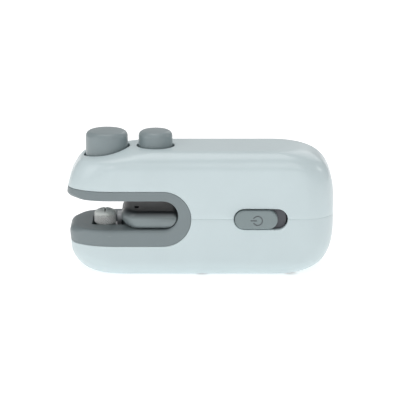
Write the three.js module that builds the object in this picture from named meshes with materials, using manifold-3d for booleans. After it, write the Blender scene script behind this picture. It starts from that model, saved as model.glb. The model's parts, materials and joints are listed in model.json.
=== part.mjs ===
// Mini bag closer: a palm-sized, C-shaped machine that stitches the mouth of a bag shut.
// Millimetres, +Z up. +X runs from the open throat to the closed end, and -Y is the front.
// The origin is under the middle of the object, on the surface that it stands on.
import * as THREE from 'three';
import { mergeVertices } from 'three/addons/utils/BufferGeometryUtils.js';
import Module from 'manifold-3d';

const wasm = await Module();
wasm.setup();

// Casing
const bodyLength = 120;
const bodyHeight = 57;
const bodyDepth = 38;
const wall = 2;
const edgeFillet = 8;
const noseTopReach = 17.2;
const noseTopDrop = 22.4;
const topSlopeStart = 38.3;
const topSlopeRun = 6;
const topSlopeBlend = 4;
const noseBottomReach = 14.8;
const noseBottomRise = 20;
const tailReach = 25.3;
const tailRise = 26.6;
const tailPower = 3;
const nosePlanReach = 20;
const tailPlanReach = 14;
const planCornerDepth = 13;

// Throat and its liner: places as shares of the casing's length and height
const throatEndShare = -0.139;
const throatTopShare = 0.6228;
const throatFloorShare = 0.386;
const linerTopBand = 4.3;
const linerFloorBand = 7.3;

// Clearances and overruns
const gap = 0.3;
const overrun = 1;
const mergeTolerance = 0.0001;

// Facets
const roundSides = 20;
const smallSides = 12;
const needleSides = 8;
const buttonSides = 32;
const throatSides = 36;
const cornerSteps = 5;
const linerSteps = 9;
const filletSteps = 5;
const flankSteps = 3;

// Buttons
const largeButtonFromNose = 17.93;
const largeButtonRadius = 9.48;
const largeButtonTravel = 2;
const buttonSpacing = 21.93;
const smallButtonRadius = 7.64;
const smallButtonTravel = 1.5;
const buttonProud = 7;
const buttonEdge = 2.5;
const buttonCrown = 0.3;
const buttonWall = 1.6;
const buttonHoleGap = 0.85;
const buttonFlangeLap = 1.5;
const buttonFlangeHeight = 1.2;
const largeFlangeDrop = 12;
const smallFlangeDrop = 4.8;
const buttonStemRadius = 2;

// Slide switch
const slotShare = 0.2254;
const slotLength = 24;
const slotHeight = 9.4;
const slideLength = 19.2;
const slideHeight = 8.4;
const slideTravel = 3.8;
const slideProud = 1.3;
const slideEdge = 0.6;
const slideFlangeLap = 1.5;
const slideFlangeThickness = 0.8;
const signRadius = 2.1;
const signLine = 0.5;
const signDepth = 0.25;
const signBar = 2.6;

// Needle arm: heights above the tray, and lengths from the needle, the throat and the pivot
const pivotFromThroat = 19.68;
const armHalfWidth = 3;
const armRockDegrees = 6;
const pivotPinRadius = 1.5;
const bushWall = 0.8;
const pivotBossRadius = 4.8;
const armRise = 0.8;
const neckRise = 3.5;
const beamRise = 6.8;
const neckFromNeedle = 5.5;
const neckLength = 1.8;
const lugDrop = 4.1;
const lugThickness = 2.5;
const lugRadius = 3.6;
const shroudFromNeck = 2.1;
const shroudEndGap = 0.4;
const shroudRise = 0.3;
const shroudHeight = 7.9;
const shroudSetback = 1.2;
const shroudLowCorner = 4;
const shroudHighCorner = 2.6;
const shroudRound = 2.5;
const shroudPlanReach = 8;
const shroudPlanDepth = 11;
const earThickness = 1.4;
const bridgeRoom = 4.6;

// Needle clamp
const needleFromNose = 16.9;
const nutRadius = 5;
const nutHeight = 6.1;
const nutShoulder = 1.2;
const nutRidges = 20;
const ridgeDepth = 0.3;
const nutWeb = 0.9;
const nutMouth = 2.2;
const colletRadius = 2.6;
const colletDomeRadius = 1.9;
const colletDomeEdge = 0.5;
const colletDomeHeight = 0.8;
const colletSlit = 0.6;
const colletSlitDepth = 3;
const colletBore = 0.75;
const needleRadius = 0.45;
const needleReach = 4.7;
const needlePoint = 2;

// Needle well in the tray
const wellBeforeNeedle = 5.7;
const wellPastNeck = 4.1;
const wellHalfWidth = 8;
const wellFloorThickness = 1.9;
const needleHoleBefore = 2.9;
const needleHoleAfter = 0.9;
const needleHoleHalfWidth = 1.2;

// Drive: the gears lie between two plates behind the arm
const gearModule = 0.4;
const pinionTeeth = 12;
const wheelTeeth = 36;
const pressureDegrees = 20;
const backlashShare = 0.16;
const pinionAddendumShare = 0.85;
const wheelAddendumShare = 0.6;
const dedendumShare = 1.25;
const idlerDirectionDegrees = 38;
const motorDirectionDegrees = 25;
const crankReach = 14;
const crankThrow = 0.75;
const crankPinRadius = 1.1;
const crankPinEnd = 0.5;
const crankDiscRadius = 3.6;
const crankDiscThickness = 2;
const crankDiscGap = 0.5;
const crankShaftRadius = 1.5;
const yokeWall = 2.2;
const yokeFront = -1.5;
const yokeBack = 2.5;
const axleRadius = 1;
const gearWidth = 1.7;
const plateThickness = 1.4;
const plateGap = 0.4;
const plateTopDrop = 10;
const plateTopFromTail = 14.7;
const plateShoulderRise = 6.75;
const plateBottomDrop = 6.65;
const legWidth = 3;
const leftLegFromPivot = 5;
const rightLegFromTail = 8.6;
const leftLegBottom = 7;
const rightLegBottom = 12;
const rearPlateThickness = 1.2;
const rearPlateMargin = 2.6;
const spacerRadius = 1.8;
const motorRadius = 10;
const motorLength = 9;
const motorEdge = 1;
const motorCollarRadius = 3;
const motorCollarHeight = 0.6;
const motorShaftBuried = 6;
const pinEnd = 0.5;

// Looper
const looperDrop = 6.4;
const looperThickness = 1.8;
const looperHalfWidth = 2.5;
const looperPastPivot = 3.2;
const legHalfWidth = 1.5;
const guideWidth = 3;
const leftGuideFromNeedle = 10.1;
const rightGuideFromPivot = 12;
const guideHalfDepth = 5;
const guideRoof = 2.4;
const hookPoint = 2;
const hookLength = 8;
const hookNear = 0.9;
const hookFar = 2;

// Thread tension
const tensionPastPivot = 3;
const tensionDrop = 4;
const tensionDiscRadius = 4;
const tensionDiscThickness = 0.6;
const tensionDiscDish = 0.7;
const tensionSpringRadius = 2;
const tensionSpringLength = 2.6;
const tensionHeadRadius = 2.6;
const tensionHeadThickness = 0.8;

// Power
const cellRadius = 5;
const cellLength = 26;
const cellStandoff = 3;
const cellY = 1.5;
const contactThickness = 0.6;
const contactHalfWidth = 3.5;
const contactHeight = 8;
const bulkheadThickness = 1;
const bulkheadGap = 1;
const cradleWidth = 1.6;
const cradleInset = 5;
const saddleWall = 1.2;
const saddleDepth = 3;
const boardPastScrew = 6.6;
const boardBeforeScrew = 2.5;
const boardThickness = 1.2;
const boardRise = 6.75;
const boardDrop = 8.25;
const boardPostWidth = 3;
const switchBodyLength = 14;
const switchBodyHeight = 7.3;
const switchBodyDepth = 3.6;
const switchStandoff = 2;
const leverWidth = 2.4;
const leverBuried = 1.9;
const jawThickness = 1;
const jawLength = 1.6;
const chargeBoardLength = 11;
const chargeBoardFromTail = 3;
const chargeBoardHalfWidth = 5;
const chargeBoardThickness = 1.2;
const socketWidth = 9;
const socketHeight = 3.2;
const socketLength = 6.5;
const socketRecess = 1.2;
const socketWall = 0.35;
const socketTongue = 0.7;

// Button board
const buttonBoardFromNose = 8;
const buttonBoardMargin = 0.6;
const buttonBoardHalfWidth = 11;
const buttonBoardThickness = 1.6;
const tactSide = 6;
const tactHeight = 3.5;
const tactPlungerRadius = 1.7;
const tactPlungerHeight = 1;
const springWire = 0.6;
const springTurns = 6;
const largeSpringRadius = 5.2;
const smallSpringRadius = 5;
const stepsPerTurn = 8;
const wireSides = 4;

// Case screws
const leftScrewBeforePivot = 2.2;
const rightScrewShare = 0.34;
const screwFromFront = 7.4;
const screwFromBack = 6.2;
const screwHeadRadius = 2.2;
const screwHeadHeight = 1.6;
const screwShankRadius = 1.1;
const screwHeadZ = 3;
const screwLength = 32;
const bossWall = 1.2;

// Soft mat that the part stands on, set into the flat under the casing
const matShare = 0.5;
const matHalfWidth = 7;
const matCorner = 3;
const matProud = 0.3;
const matBuried = 0.6;

// Sizes that follow
const noseX = -bodyLength / 2;
const tailX = bodyLength / 2;
const frontY = -bodyDepth / 2;
const backY = bodyDepth / 2;
const throatEndX = throatEndShare * bodyLength;
const throatTop = throatTopShare * bodyHeight;
const throatFloor = throatFloorShare * bodyHeight;
const throatRadius = (throatTop - throatFloor) / 2;
const throatMiddle = (throatTop + throatFloor) / 2;
const linerTop = throatTop + linerTopBand;
const linerBottom = throatFloor - linerFloorBand;
const linerEndRadius = (linerTop - linerBottom) / 2;
const seamZ = (linerTop + linerBottom) / 2;
const buttonTop = bodyHeight + buttonProud;
const largeButtonX = noseX + largeButtonFromNose;
const smallButtonX = largeButtonX + buttonSpacing;
const needleX = noseX + needleFromNose;
const pivotX = throatEndX + pivotFromThroat;
const pivotZ = seamZ;
const armBottom = throatFloor + armRise;
const neckTop = throatFloor + neckRise;
const beamTop = throatFloor + beamRise;
const neckLeft = needleX + neckFromNeedle;
const lugBottom = throatFloor - lugDrop;
const lugTop = lugBottom + lugThickness;
const shroudLeft = neckLeft + shroudFromNeck;
const shroudRight = throatEndX + throatRadius - shroudEndGap;
const shroudBottom = throatFloor + shroudRise;
const shroudTop = shroudBottom + shroudHeight;
const shroudHalfWidth = backY - shroudSetback;
const wheelRadius = gearModule * wheelTeeth / 2;
const pinionRadius = gearModule * pinionTeeth / 2;
const gearDistance = wheelRadius + pinionRadius;
const idlerDirection = THREE.MathUtils.degToRad(idlerDirectionDegrees);
const motorDirection = THREE.MathUtils.degToRad(motorDirectionDegrees);
const crankX = pivotX + crankReach;
const idlerX = crankX + gearDistance * Math.cos(idlerDirection);
const idlerZ = pivotZ + gearDistance * Math.sin(idlerDirection);
const motorX = idlerX + gearDistance * Math.cos(motorDirection);
const motorZ = idlerZ + gearDistance * Math.sin(motorDirection);
const crankDiscFront = yokeBack + crankDiscGap;
const crankDiscBack = crankDiscFront + crankDiscThickness;
const plateFront = crankDiscBack + plateGap;
const plateBack = plateFront + plateThickness;
const wheelFront = plateBack + gap;
const crankGearFront = wheelFront + gearWidth + 2 * gap;
const idlerPinionBack = crankGearFront + gearWidth + gap;
const rearPlateFront = idlerPinionBack + gap;
const rearPlateBack = rearPlateFront + rearPlateThickness;
const plateTop = bodyHeight - plateTopDrop;
const leftLegX = pivotX - leftLegFromPivot;
const rightLegX = tailX - rightLegFromTail;
const looperZ = linerBottom - looperDrop;
const looperEndX = pivotX + looperPastPivot;
const tensionX = pivotX + tensionPastPivot;
const tensionZ = plateTop - tensionDrop;
const bossRadius = screwShankRadius + gap + bossWall;
const leftScrewX = pivotX - leftScrewBeforePivot;
const rightScrewX = rightScrewShare * bodyLength;
const slotCentre = { x: slotShare * bodyLength, z: seamZ };
const slideCentreX = slotCentre.x - slotLength / 2 + gap + slideLength / 2;
const slideFlangeFront = frontY + wall + gap;
const slideFlangeBack = slideFlangeFront + slideFlangeThickness;
const leverFront = slideFlangeBack + gap;
const switchFront = slideFlangeBack + switchStandoff;
const boardFront = switchFront + switchBodyDepth + gap;
const boardBack = boardFront + boardThickness;
const boardLeft = leftScrewX + bossRadius + boardPastScrew;
const boardRight = rightScrewX - bossRadius - boardBeforeScrew;
const boardBottom = seamZ - boardDrop;
const boardTop = seamZ + boardRise;
const leftBulkheadX = looperEndX + bulkheadGap;
const leftContactX = leftBulkheadX + bulkheadThickness + gap;
const cellLeft = leftContactX + contactThickness + gap;
const cellRight = cellLeft + cellLength;
const rightContactX = cellRight + gap;
const rightBulkheadX = rightContactX + contactThickness + gap;
const cellZ = wall + cellStandoff + cellRadius;
const chargeBoardRight = tailX - chargeBoardFromTail;
const chargeBoardLeft = chargeBoardRight - chargeBoardLength;
const socketZ = seamZ - socketHeight / 2;
const chargeBoardBottom = socketZ - gap - chargeBoardThickness;
const buttonBoardBottom = linerTop + gap;
const buttonBoardTop = buttonBoardBottom + buttonBoardThickness;
const tactTop = buttonBoardTop + gap + tactHeight + tactPlungerHeight;
const wellFloor = linerBottom + wellFloorThickness;
const nutBottom = lugTop + gap;
const nutTop = nutBottom + nutHeight;
const needleTop = nutTop - nutWeb - gap - colletSlitDepth;

// Meshes and solids

// A closed mesh with shared vertices, no collapsed triangles and its faces pointing out.
function cleanMesh(geometry) {
  const bare = geometry.clone();
  bare.deleteAttribute('normal');
  bare.deleteAttribute('uv');
  const merged = mergeVertices(bare, mergeTolerance);
  const points = merged.attributes.position;
  const corners = merged.index.array;
  const kept = [];
  const [a, b, c] = [new THREE.Vector3(), new THREE.Vector3(), new THREE.Vector3()];
  let volume = 0;
  for (let i = 0; i < corners.length; i += 3) {
    const [p, q, r] = [corners[i], corners[i + 1], corners[i + 2]];
    if (p === q || q === r || r === p) continue;
    kept.push(p, q, r);
    a.fromBufferAttribute(points, p);
    b.fromBufferAttribute(points, q);
    c.fromBufferAttribute(points, r);
    volume += a.dot(b.cross(c));
  }
  if (volume < 0) kept.reverse();
  return { vertProperties: new Float32Array(points.array), triVerts: new Uint32Array(kept) };
}

function solid(geometry) {
  return new wasm.Manifold(new wasm.Mesh({ numProp: 3, ...cleanMesh(geometry) }));
}

function geometryOf(body) {
  const mesh = body.getMesh();
  const geometry = new THREE.BufferGeometry();
  geometry.setAttribute('position', new THREE.BufferAttribute(mesh.vertProperties, 3));
  geometry.setIndex(new THREE.BufferAttribute(mesh.triVerts, 1));
  return geometry;
}

function half(length) {
  return length / 2;
}

function joined(...bodies) {
  return bodies.reduce((whole, body) => whole.add(body));
}

function cut(body, ...tools) {
  return tools.reduce((left, tool) => left.subtract(tool), body);
}

function box(x0, x1, y0, y1, z0, z1) {
  const geometry = new THREE.BoxGeometry(x1 - x0, y1 - y0, z1 - z0);
  return solid(geometry.translate((x0 + x1) / 2, (y0 + y1) / 2, (z0 + z1) / 2));
}

function rodX(y, z, radius, x0, x1, sides = smallSides) {
  const geometry = new THREE.CylinderGeometry(radius, radius, x1 - x0, sides);
  return solid(geometry.rotateZ(Math.PI / 2).translate((x0 + x1) / 2, y, z));
}

function rodY(x, z, radius, y0, y1, sides = smallSides) {
  const geometry = new THREE.CylinderGeometry(radius, radius, y1 - y0, sides);
  return solid(geometry.translate(x, (y0 + y1) / 2, z));
}

function rodZ(x, y, radius, z0, z1, sides = smallSides) {
  const geometry = new THREE.CylinderGeometry(radius, radius, z1 - z0, sides);
  return solid(geometry.rotateX(Math.PI / 2).translate(x, y, (z0 + z1) / 2));
}

// A turned piece: its profile is pairs of radius and height, from axis to axis.
function turnedZ(profile, x, y, sides = roundSides) {
  const points = profile.map(([radius, height]) => new THREE.Vector2(radius, height));
  return solid(new THREE.LatheGeometry(points, sides).rotateX(Math.PI / 2).translate(x, y, 0));
}

function turnedY(profile, x, z, sides = roundSides) {
  const points = profile.map(([radius, height]) => new THREE.Vector2(radius, height));
  return solid(new THREE.LatheGeometry(points, sides).translate(x, 0, z));
}

// An outline drawn in X and Z, made solid from y0 to y1.
function slabXZ(shape, y0, y1, curveSegments = cornerSteps) {
  const options = { depth: y1 - y0, bevelEnabled: false, curveSegments };
  return solid(new THREE.ExtrudeGeometry(shape, options).rotateX(Math.PI / 2).translate(0, y1, 0));
}

// An outline with a rounded front and back edge.
function pillowXZ(shape, y0, y1, round, steps) {
  const depth = y1 - y0 - 2 * round;
  const bevel = { bevelEnabled: true, bevelThickness: round, bevelSize: round, bevelOffset: -round };
  const options = { depth, ...bevel, bevelSegments: steps, curveSegments: steps };
  const geometry = new THREE.ExtrudeGeometry(shape, options);
  return solid(geometry.rotateX(Math.PI / 2).translate(0, y1 - round, 0));
}

function slabXY(shape, z0, z1, curveSegments = cornerSteps) {
  const options = { depth: z1 - z0, bevelEnabled: false, curveSegments };
  return solid(new THREE.ExtrudeGeometry(shape, options).translate(0, 0, z0));
}

function polygon(points) {
  return new THREE.Shape(points.map(([x, y]) => new THREE.Vector2(x, y)));
}

function stadium(x, z, length, height) {
  const shape = new THREE.Shape();
  const reach = (length - height) / 2;
  shape.absarc(x + reach, z, height / 2, -Math.PI / 2, Math.PI / 2, false);
  shape.absarc(x - reach, z, height / 2, Math.PI / 2, 3 * Math.PI / 2, false);
  return shape;
}

function roundedBox(x0, x1, z0, z1, low, high) {
  const shape = new THREE.Shape();
  shape.absarc(x1 - low, z0 + low, low, -Math.PI / 2, 0, false);
  shape.absarc(x1 - high, z1 - high, high, 0, Math.PI / 2, false);
  shape.absarc(x0 + high, z1 - high, high, Math.PI / 2, Math.PI, false);
  shape.absarc(x0 + low, z0 + low, low, Math.PI, 3 * Math.PI / 2, false);
  return shape;
}

// Casing form: level sections stacked from the floor up. Each is a rectangle with elliptical
// corners, and the ends and the long edges round off towards the top and the bottom.

// What is left of a reach once the height has gone a share of the way round its quarter.
// Power 2 is an ellipse, and a higher power a fuller curve.
function quarter(reach, share, power = 2) {
  return reach * Math.max(0, 1 - Math.min(1, share) ** power) ** (1 / power);
}

// The larger of two values, eased where they lie close together.
function easedMax(a, b) {
  const near = Math.max(0, topSlopeBlend - Math.abs(a - b));
  return Math.max(a, b) + near * near / (4 * topSlopeBlend);
}

function sectionAt(z, inset) {
  const low = (rise) => Math.max(0, (rise - z) / (rise - inset));
  const high = (drop) => Math.max(0, (z - bodyHeight + drop) / (drop - inset));
  const left = (reach, share) => noseX + reach - quarter(reach - inset, share);
  const slope = noseX + topSlopeStart - (bodyHeight - inset - z) * topSlopeRun;
  const noseTop = easedMax(left(noseTopReach, high(noseTopDrop)), slope);
  const tailShare = Math.max(high(tailRise), low(tailRise));
  const halfDepth = backY - edgeFillet
    + quarter(edgeFillet - inset, Math.max(low(edgeFillet), high(edgeFillet)));
  return {
    left: Math.max(noseTop, left(noseBottomReach, low(noseBottomRise))),
    right: tailX - tailReach + quarter(tailReach - inset, tailShare, tailPower),
    halfDepth,
    cornerShare: halfDepth / (backY - inset),
  };
}

function sectionPoints(z, inset) {
  const section = sectionAt(z, inset);
  const depth = (planCornerDepth - inset) * section.cornerShare;
  const corners = [
    { x: section.right, y: section.halfDepth, reach: tailPlanReach, turn: 0 },
    { x: section.left, y: section.halfDepth, reach: nosePlanReach, turn: Math.PI / 2 },
    { x: section.left, y: -section.halfDepth, reach: nosePlanReach, turn: Math.PI },
    { x: section.right, y: -section.halfDepth, reach: tailPlanReach, turn: 3 * Math.PI / 2 },
  ];
  return corners.flatMap((corner) => {
    const reach = (corner.reach - inset) * section.cornerShare;
    const centreX = corner.x - Math.sign(corner.x) * reach;
    const centreY = corner.y - Math.sign(corner.y) * depth;
    return Array.from({ length: cornerSteps + 1 }, (_, step) => {
      const angle = corner.turn + step / cornerSteps * Math.PI / 2;
      return [centreX + reach * Math.cos(angle), centreY + depth * Math.sin(angle), z];
    });
  });
}

function sectionLevels(inset) {
  const fillet = Array.from({ length: filletSteps + 1 }, (_, step) => {
    const angle = (1 - step / filletSteps) * Math.PI / 2;
    return edgeFillet - (edgeFillet - inset) * Math.sin(angle);
  });
  const flank = Array.from({ length: flankSteps }, (_, step) => {
    return edgeFillet + (tailRise - edgeFillet) * (step + 1) / flankSteps;
  });
  const low = [...fillet, ...flank];
  return [...low, ...low.map((level) => bodyHeight - level).reverse()];
}

function casingForm(inset) {
  const rings = sectionLevels(inset).map((level) => sectionPoints(level, inset));
  const count = rings[0].length;
  const top = (rings.length - 1) * count;
  const index = [];
  for (let ring = 0; ring < rings.length - 1; ring += 1) {
    for (let k = 0; k < count; k += 1) {
      const next = (k + 1) % count;
      const [a, b] = [ring * count + k, ring * count + next];
      index.push(a, b, b + count, a, b + count, a + count);
    }
  }
  for (let k = 1; k < count - 1; k += 1) {
    index.push(0, k + 1, k);
    index.push(top, top + k, top + k + 1);
  }
  const geometry = new THREE.BufferGeometry();
  const positions = new Float32Array(rings.flat(2));
  geometry.setAttribute('position', new THREE.BufferAttribute(positions, 3));
  geometry.setIndex(index);
  return solid(geometry);
}

const outerForm = casingForm(0);
const innerForm = casingForm(wall);
const ribForm = casingForm(wall / 2);

// The liner's outside, grown by a clearance, open past the nose.
function linerOutline(clearance) {
  const shape = new THREE.Shape();
  shape.moveTo(noseX - overrun, linerBottom - clearance);
  shape.lineTo(throatEndX, linerBottom - clearance);
  shape.absarc(throatEndX, seamZ, linerEndRadius + clearance, -Math.PI / 2, Math.PI / 2, false);
  shape.lineTo(noseX - overrun, linerTop + clearance);
  return shape;
}

function throatOutline() {
  const shape = new THREE.Shape();
  shape.moveTo(noseX - 2 * overrun, throatFloor);
  shape.lineTo(throatEndX, throatFloor);
  shape.absarc(throatEndX, throatMiddle, throatRadius, -Math.PI / 2, Math.PI / 2, false);
  shape.lineTo(noseX - 2 * overrun, throatTop);
  return shape;
}

const [cutFront, cutBack] = [frontY - slideProud - overrun, backY + overrun];

function screwPlaces() {
  const rows = [frontY + screwFromFront, backY - screwFromBack];
  return [leftScrewX, rightScrewX].flatMap((x) => rows.map((y) => ({ x, y })));
}

const screwSeatZ = screwHeadZ + screwHeadHeight + gap;
const slotY = { front: frontY - overrun, back: frontY + wall + overrun };
const slotOutline = stadium(slotCentre.x, slotCentre.z, slotLength, slotHeight);
const slotTool = slabXZ(slotOutline, slotY.front, slotY.back);
const socketTool = box(
  tailX - socketLength, tailX + overrun,
  -socketWidth / 2 - gap, socketWidth / 2 + gap,
  socketZ - gap, socketZ + socketHeight + gap,
);

function upperShell() {
  const keep = box(noseX, tailX, frontY, backY, seamZ + gap / 2, bodyHeight);
  const bosses = screwPlaces().map(({ x, y }) => rodZ(x, y, bossRadius, seamZ + gap / 2, bodyHeight));
  const pilots = screwPlaces().map(({ x, y }) => {
    return rodZ(x, y, screwShankRadius + gap, seamZ, screwHeadZ + screwLength + gap);
  });
  const shell = joined(outerForm.subtract(innerForm).intersect(keep), joined(...bosses).intersect(ribForm));
  const holeTop = buttonTop + overrun;
  return cut(
    shell,
    ...pilots,
    slabXZ(linerOutline(gap), cutFront, cutBack, linerSteps),
    rodZ(largeButtonX, 0, largeButtonRadius + buttonHoleGap, linerTop, holeTop, buttonSides),
    rodZ(smallButtonX, 0, smallButtonRadius + buttonHoleGap, linerTop, holeTop, buttonSides),
    slotTool,
    socketTool,
  );
}

// A forked rib that takes one leg of the gear plate
function saddle(x, bottom) {
  const [x0, x1] = [x - gap, x + legWidth + gap];
  const [y0, y1] = [plateFront - gap, plateBack + gap];
  const top = bottom + saddleDepth;
  const block = box(x0 - saddleWall, x1 + saddleWall, y0 - saddleWall, y1 + saddleWall, 0, top);
  return block.subtract(box(x0, x1, y0, y1, bottom - gap, bodyHeight));
}

function cradle(x) {
  const side = cellRadius - wall;
  const rib = box(x, x + cradleWidth, cellY - side, cellY + side, 0, cellZ - half(side));
  const room = rodX(cellY, cellZ, cellRadius + gap, x - overrun, x + cradleWidth + overrun, roundSides);
  return rib.subtract(room);
}

function bulkhead(x) {
  const top = cellZ + half(cellRadius);
  return box(x, x + bulkheadThickness, cellY - cellRadius, cellY + cellRadius, 0, top);
}

function boardPost(x) {
  const [y0, y1] = [boardFront - gap, boardBack + gap];
  const post = box(
    x, x + boardPostWidth,
    y0 - saddleWall, y1 + saddleWall,
    0, half(seamZ + boardBottom),
  );
  return post.subtract(box(boardLeft - gap, boardRight + gap, y0, y1, boardBottom - gap, bodyHeight));
}

function matOutline(clearance) {
  const reach = matShare * bodyLength / 2 + clearance;
  const width = matHalfWidth + clearance;
  return roundedBox(-reach, reach, -width, width, matCorner + clearance, matCorner + clearance);
}

function lowerShell() {
  const keep = box(noseX, tailX, frontY, backY, matProud, seamZ - gap / 2);
  const bosses = screwPlaces().map(({ x, y }) => rodZ(x, y, bossRadius, 0, seamZ - gap / 2));
  const sinks = screwPlaces().map(({ x, y }) => rodZ(x, y, screwHeadRadius + gap, -overrun, screwSeatZ));
  const shanks = screwPlaces().map(({ x, y }) => rodZ(x, y, screwShankRadius + gap, 0, bodyHeight));
  const chargePosts = [-1, 1].map((side) => {
    const y = side * (chargeBoardHalfWidth - bossWall);
    return rodZ(chargeBoardRight - 2 * bossWall, y, bossWall, 0, chargeBoardBottom - gap);
  });
  const seats = screwPlaces().map(({ x, y }) => {
    return rodZ(x, y, screwHeadRadius + gap + bossWall, 0, screwSeatZ + bossWall);
  });
  const ribs = joined(
    ...bosses,
    ...seats,
    ...chargePosts,
    saddle(leftLegX, leftLegBottom),
    saddle(rightLegX, rightLegBottom),
    cradle(cellLeft + cradleInset),
    cradle(cellRight - cradleInset - cradleWidth),
    bulkhead(leftBulkheadX),
    bulkhead(rightBulkheadX),
    boardPost(boardLeft - half(boardPostWidth)),
    boardPost(boardRight - half(boardPostWidth)),
  ).intersect(ribForm);
  const shell = joined(outerForm.subtract(innerForm).intersect(keep), ribs);
  return cut(
    shell,
    ...sinks,
    ...shanks,
    slabXY(matOutline(gap), 0, matProud + matBuried + gap),
    slabXZ(linerOutline(gap), cutFront, cutBack, linerSteps),
    slotTool,
    socketTool,
  );
}

function throatLiner() {
  const band = slabXZ(linerOutline(0), frontY, backY, linerSteps).intersect(outerForm);
  const armGap = armHalfWidth + 2 * gap;
  const armWay = box(throatEndX, tailX, -armGap, armGap, armBottom - gap, shroudTop + 2 * gap);
  const [wellLeft, wellRight] = [needleX - wellBeforeNeedle, neckLeft + wellPastNeck];
  const pocket = box(wellLeft, wellRight, -wellHalfWidth, wellHalfWidth, wellFloor, throatMiddle);
  const [holeLeft, holeRight] = [needleX - needleHoleBefore, needleX + needleHoleAfter];
  const hole = [holeLeft, holeRight, -needleHoleHalfWidth, needleHoleHalfWidth];
  return cut(
    band,
    slabXZ(throatOutline(), cutFront, cutBack, linerSteps),
    armWay,
    pocket,
    box(...hole, linerBottom - overrun, throatFloor),
  );
}

// Buttons: a deep cup with a flange that catches under the casing and a stem over its switch
function buttonCap(x, radius, flangeDrop, travel) {
  const flangeBottom = bodyHeight - flangeDrop;
  const ceiling = buttonTop - buttonWall;
  const stemEnd = tactTop + gap + travel;
  const edge = buttonTop - buttonCrown - buttonEdge;
  const steps = Array.from({ length: flankSteps + 1 }, (_, step) => {
    const angle = step / flankSteps * Math.PI / 2;
    return [radius - buttonEdge + buttonEdge * Math.cos(angle), edge + buttonEdge * Math.sin(angle)];
  });
  return turnedZ([
    [0, stemEnd],
    [buttonStemRadius, stemEnd],
    [buttonStemRadius, ceiling],
    [radius - buttonWall, ceiling],
    [radius - buttonWall, flangeBottom],
    [radius + buttonFlangeLap, flangeBottom],
    [radius + buttonFlangeLap, flangeBottom + buttonFlangeHeight],
    [radius, flangeBottom + buttonFlangeHeight],
    ...steps,
    [0, buttonTop],
  ], x, 0, buttonSides);
}

function coilSpring(x, radius) {
  const bottom = buttonBoardTop + gap + half(springWire);
  const top = buttonTop - buttonWall - gap - half(springWire);
  const steps = springTurns * stepsPerTurn;
  const points = Array.from({ length: steps + 1 }, (_, step) => {
    const angle = step / stepsPerTurn * 2 * Math.PI;
    const height = bottom + (top - bottom) * step / steps;
    return new THREE.Vector3(radius * Math.cos(angle), radius * Math.sin(angle), height);
  });
  const wire = new THREE.Shape();
  wire.absarc(0, 0, half(springWire), 0, 2 * Math.PI, false);
  const section = new THREE.Shape(wire.getSpacedPoints(wireSides).slice(0, wireSides));
  const path = new THREE.CatmullRomCurve3(points);
  const geometry = new THREE.ExtrudeGeometry(section, { steps, extrudePath: path, bevelEnabled: false });
  return solid(geometry.translate(x, 0, 0));
}

function tactSwitch(x) {
  const bottom = buttonBoardTop + gap;
  const side = half(tactSide);
  const body = box(x - side, x + side, -side, side, bottom, bottom + tactHeight);
  return body.add(rodZ(x, 0, tactPlungerRadius, bottom + half(tactHeight), tactTop));
}

function buttonBoard() {
  const y = buttonBoardHalfWidth;
  const left = noseX + buttonBoardFromNose;
  const right = smallButtonX + smallSpringRadius + buttonBoardMargin;
  return box(left, right, -y, y, buttonBoardBottom, buttonBoardTop);
}

// Slide switch
function powerSlide() {
  const capFront = frontY - slideProud;
  const face = stadium(slideCentreX, seamZ, slideLength, slideHeight);
  const cap = pillowXZ(face, capFront, slideFlangeBack, slideEdge, cornerSteps);
  const flangeLength = slideLength + slotHeight - slideHeight + 2 * slideFlangeLap + slideTravel;
  const flangeHeight = slotHeight + 2 * slideFlangeLap;
  const flangeShape = stadium(slideCentreX, seamZ, flangeLength, flangeHeight);
  const flange = slabXZ(flangeShape, slideFlangeFront, slideFlangeBack);
  const jawBack = slideFlangeBack + jawLength;
  const jaws = [-1, 1].map((side) => {
    const middle = slideCentreX + side * (half(leverWidth) + gap + half(jawThickness));
    const [x0, x1] = [middle - half(jawThickness), middle + half(jawThickness)];
    const [z0, z1] = [seamZ - half(leverWidth), seamZ + half(leverWidth)];
    return box(x0, x1, slideFlangeFront, jawBack, z0, z1);
  });
  return cut(joined(cap, flange, ...jaws), powerSign(capFront));
}

// The plain power sign: an open ring with a bar through its opening, turned on its side.
function powerSign(capFront) {
  const opening = Math.PI / 4;
  const ring = new THREE.Shape();
  const [from, to] = [Math.PI + opening, 3 * Math.PI - opening];
  ring.absarc(slideCentreX, seamZ, signRadius + half(signLine), from, to, false);
  ring.absarc(slideCentreX, seamZ, signRadius - half(signLine), to, from, true);
  const [y0, y1] = [capFront - overrun, capFront + signDepth];
  const left = slideCentreX - signBar;
  const bar = box(left, left + signBar, y0, y1, seamZ - half(signLine), seamZ + half(signLine));
  return joined(slabXZ(ring, y0, y1), bar);
}

function switchLever() {
  const x = half(leverWidth);
  const back = switchFront + leverBuried;
  return box(slideCentreX - x, slideCentreX + x, leverFront, back, seamZ - x, seamZ + x);
}

function switchBody() {
  const x = half(switchBodyLength);
  const z = half(switchBodyHeight);
  const middle = slideCentreX + half(slideTravel);
  const body = box(middle - x, middle + x, switchFront, switchFront + switchBodyDepth, seamZ - z, seamZ + z);
  const reach = half(slideTravel) + half(leverWidth) + gap;
  const side = half(leverWidth) + gap;
  const back = switchFront + leverBuried + gap;
  const [x0, x1] = [middle - reach, middle + reach];
  return body.subtract(box(x0, x1, switchFront - overrun, back, seamZ - side, seamZ + side));
}

function mainBoard() {
  return box(boardLeft, boardRight, boardFront, boardBack, boardBottom, boardTop);
}

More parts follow.
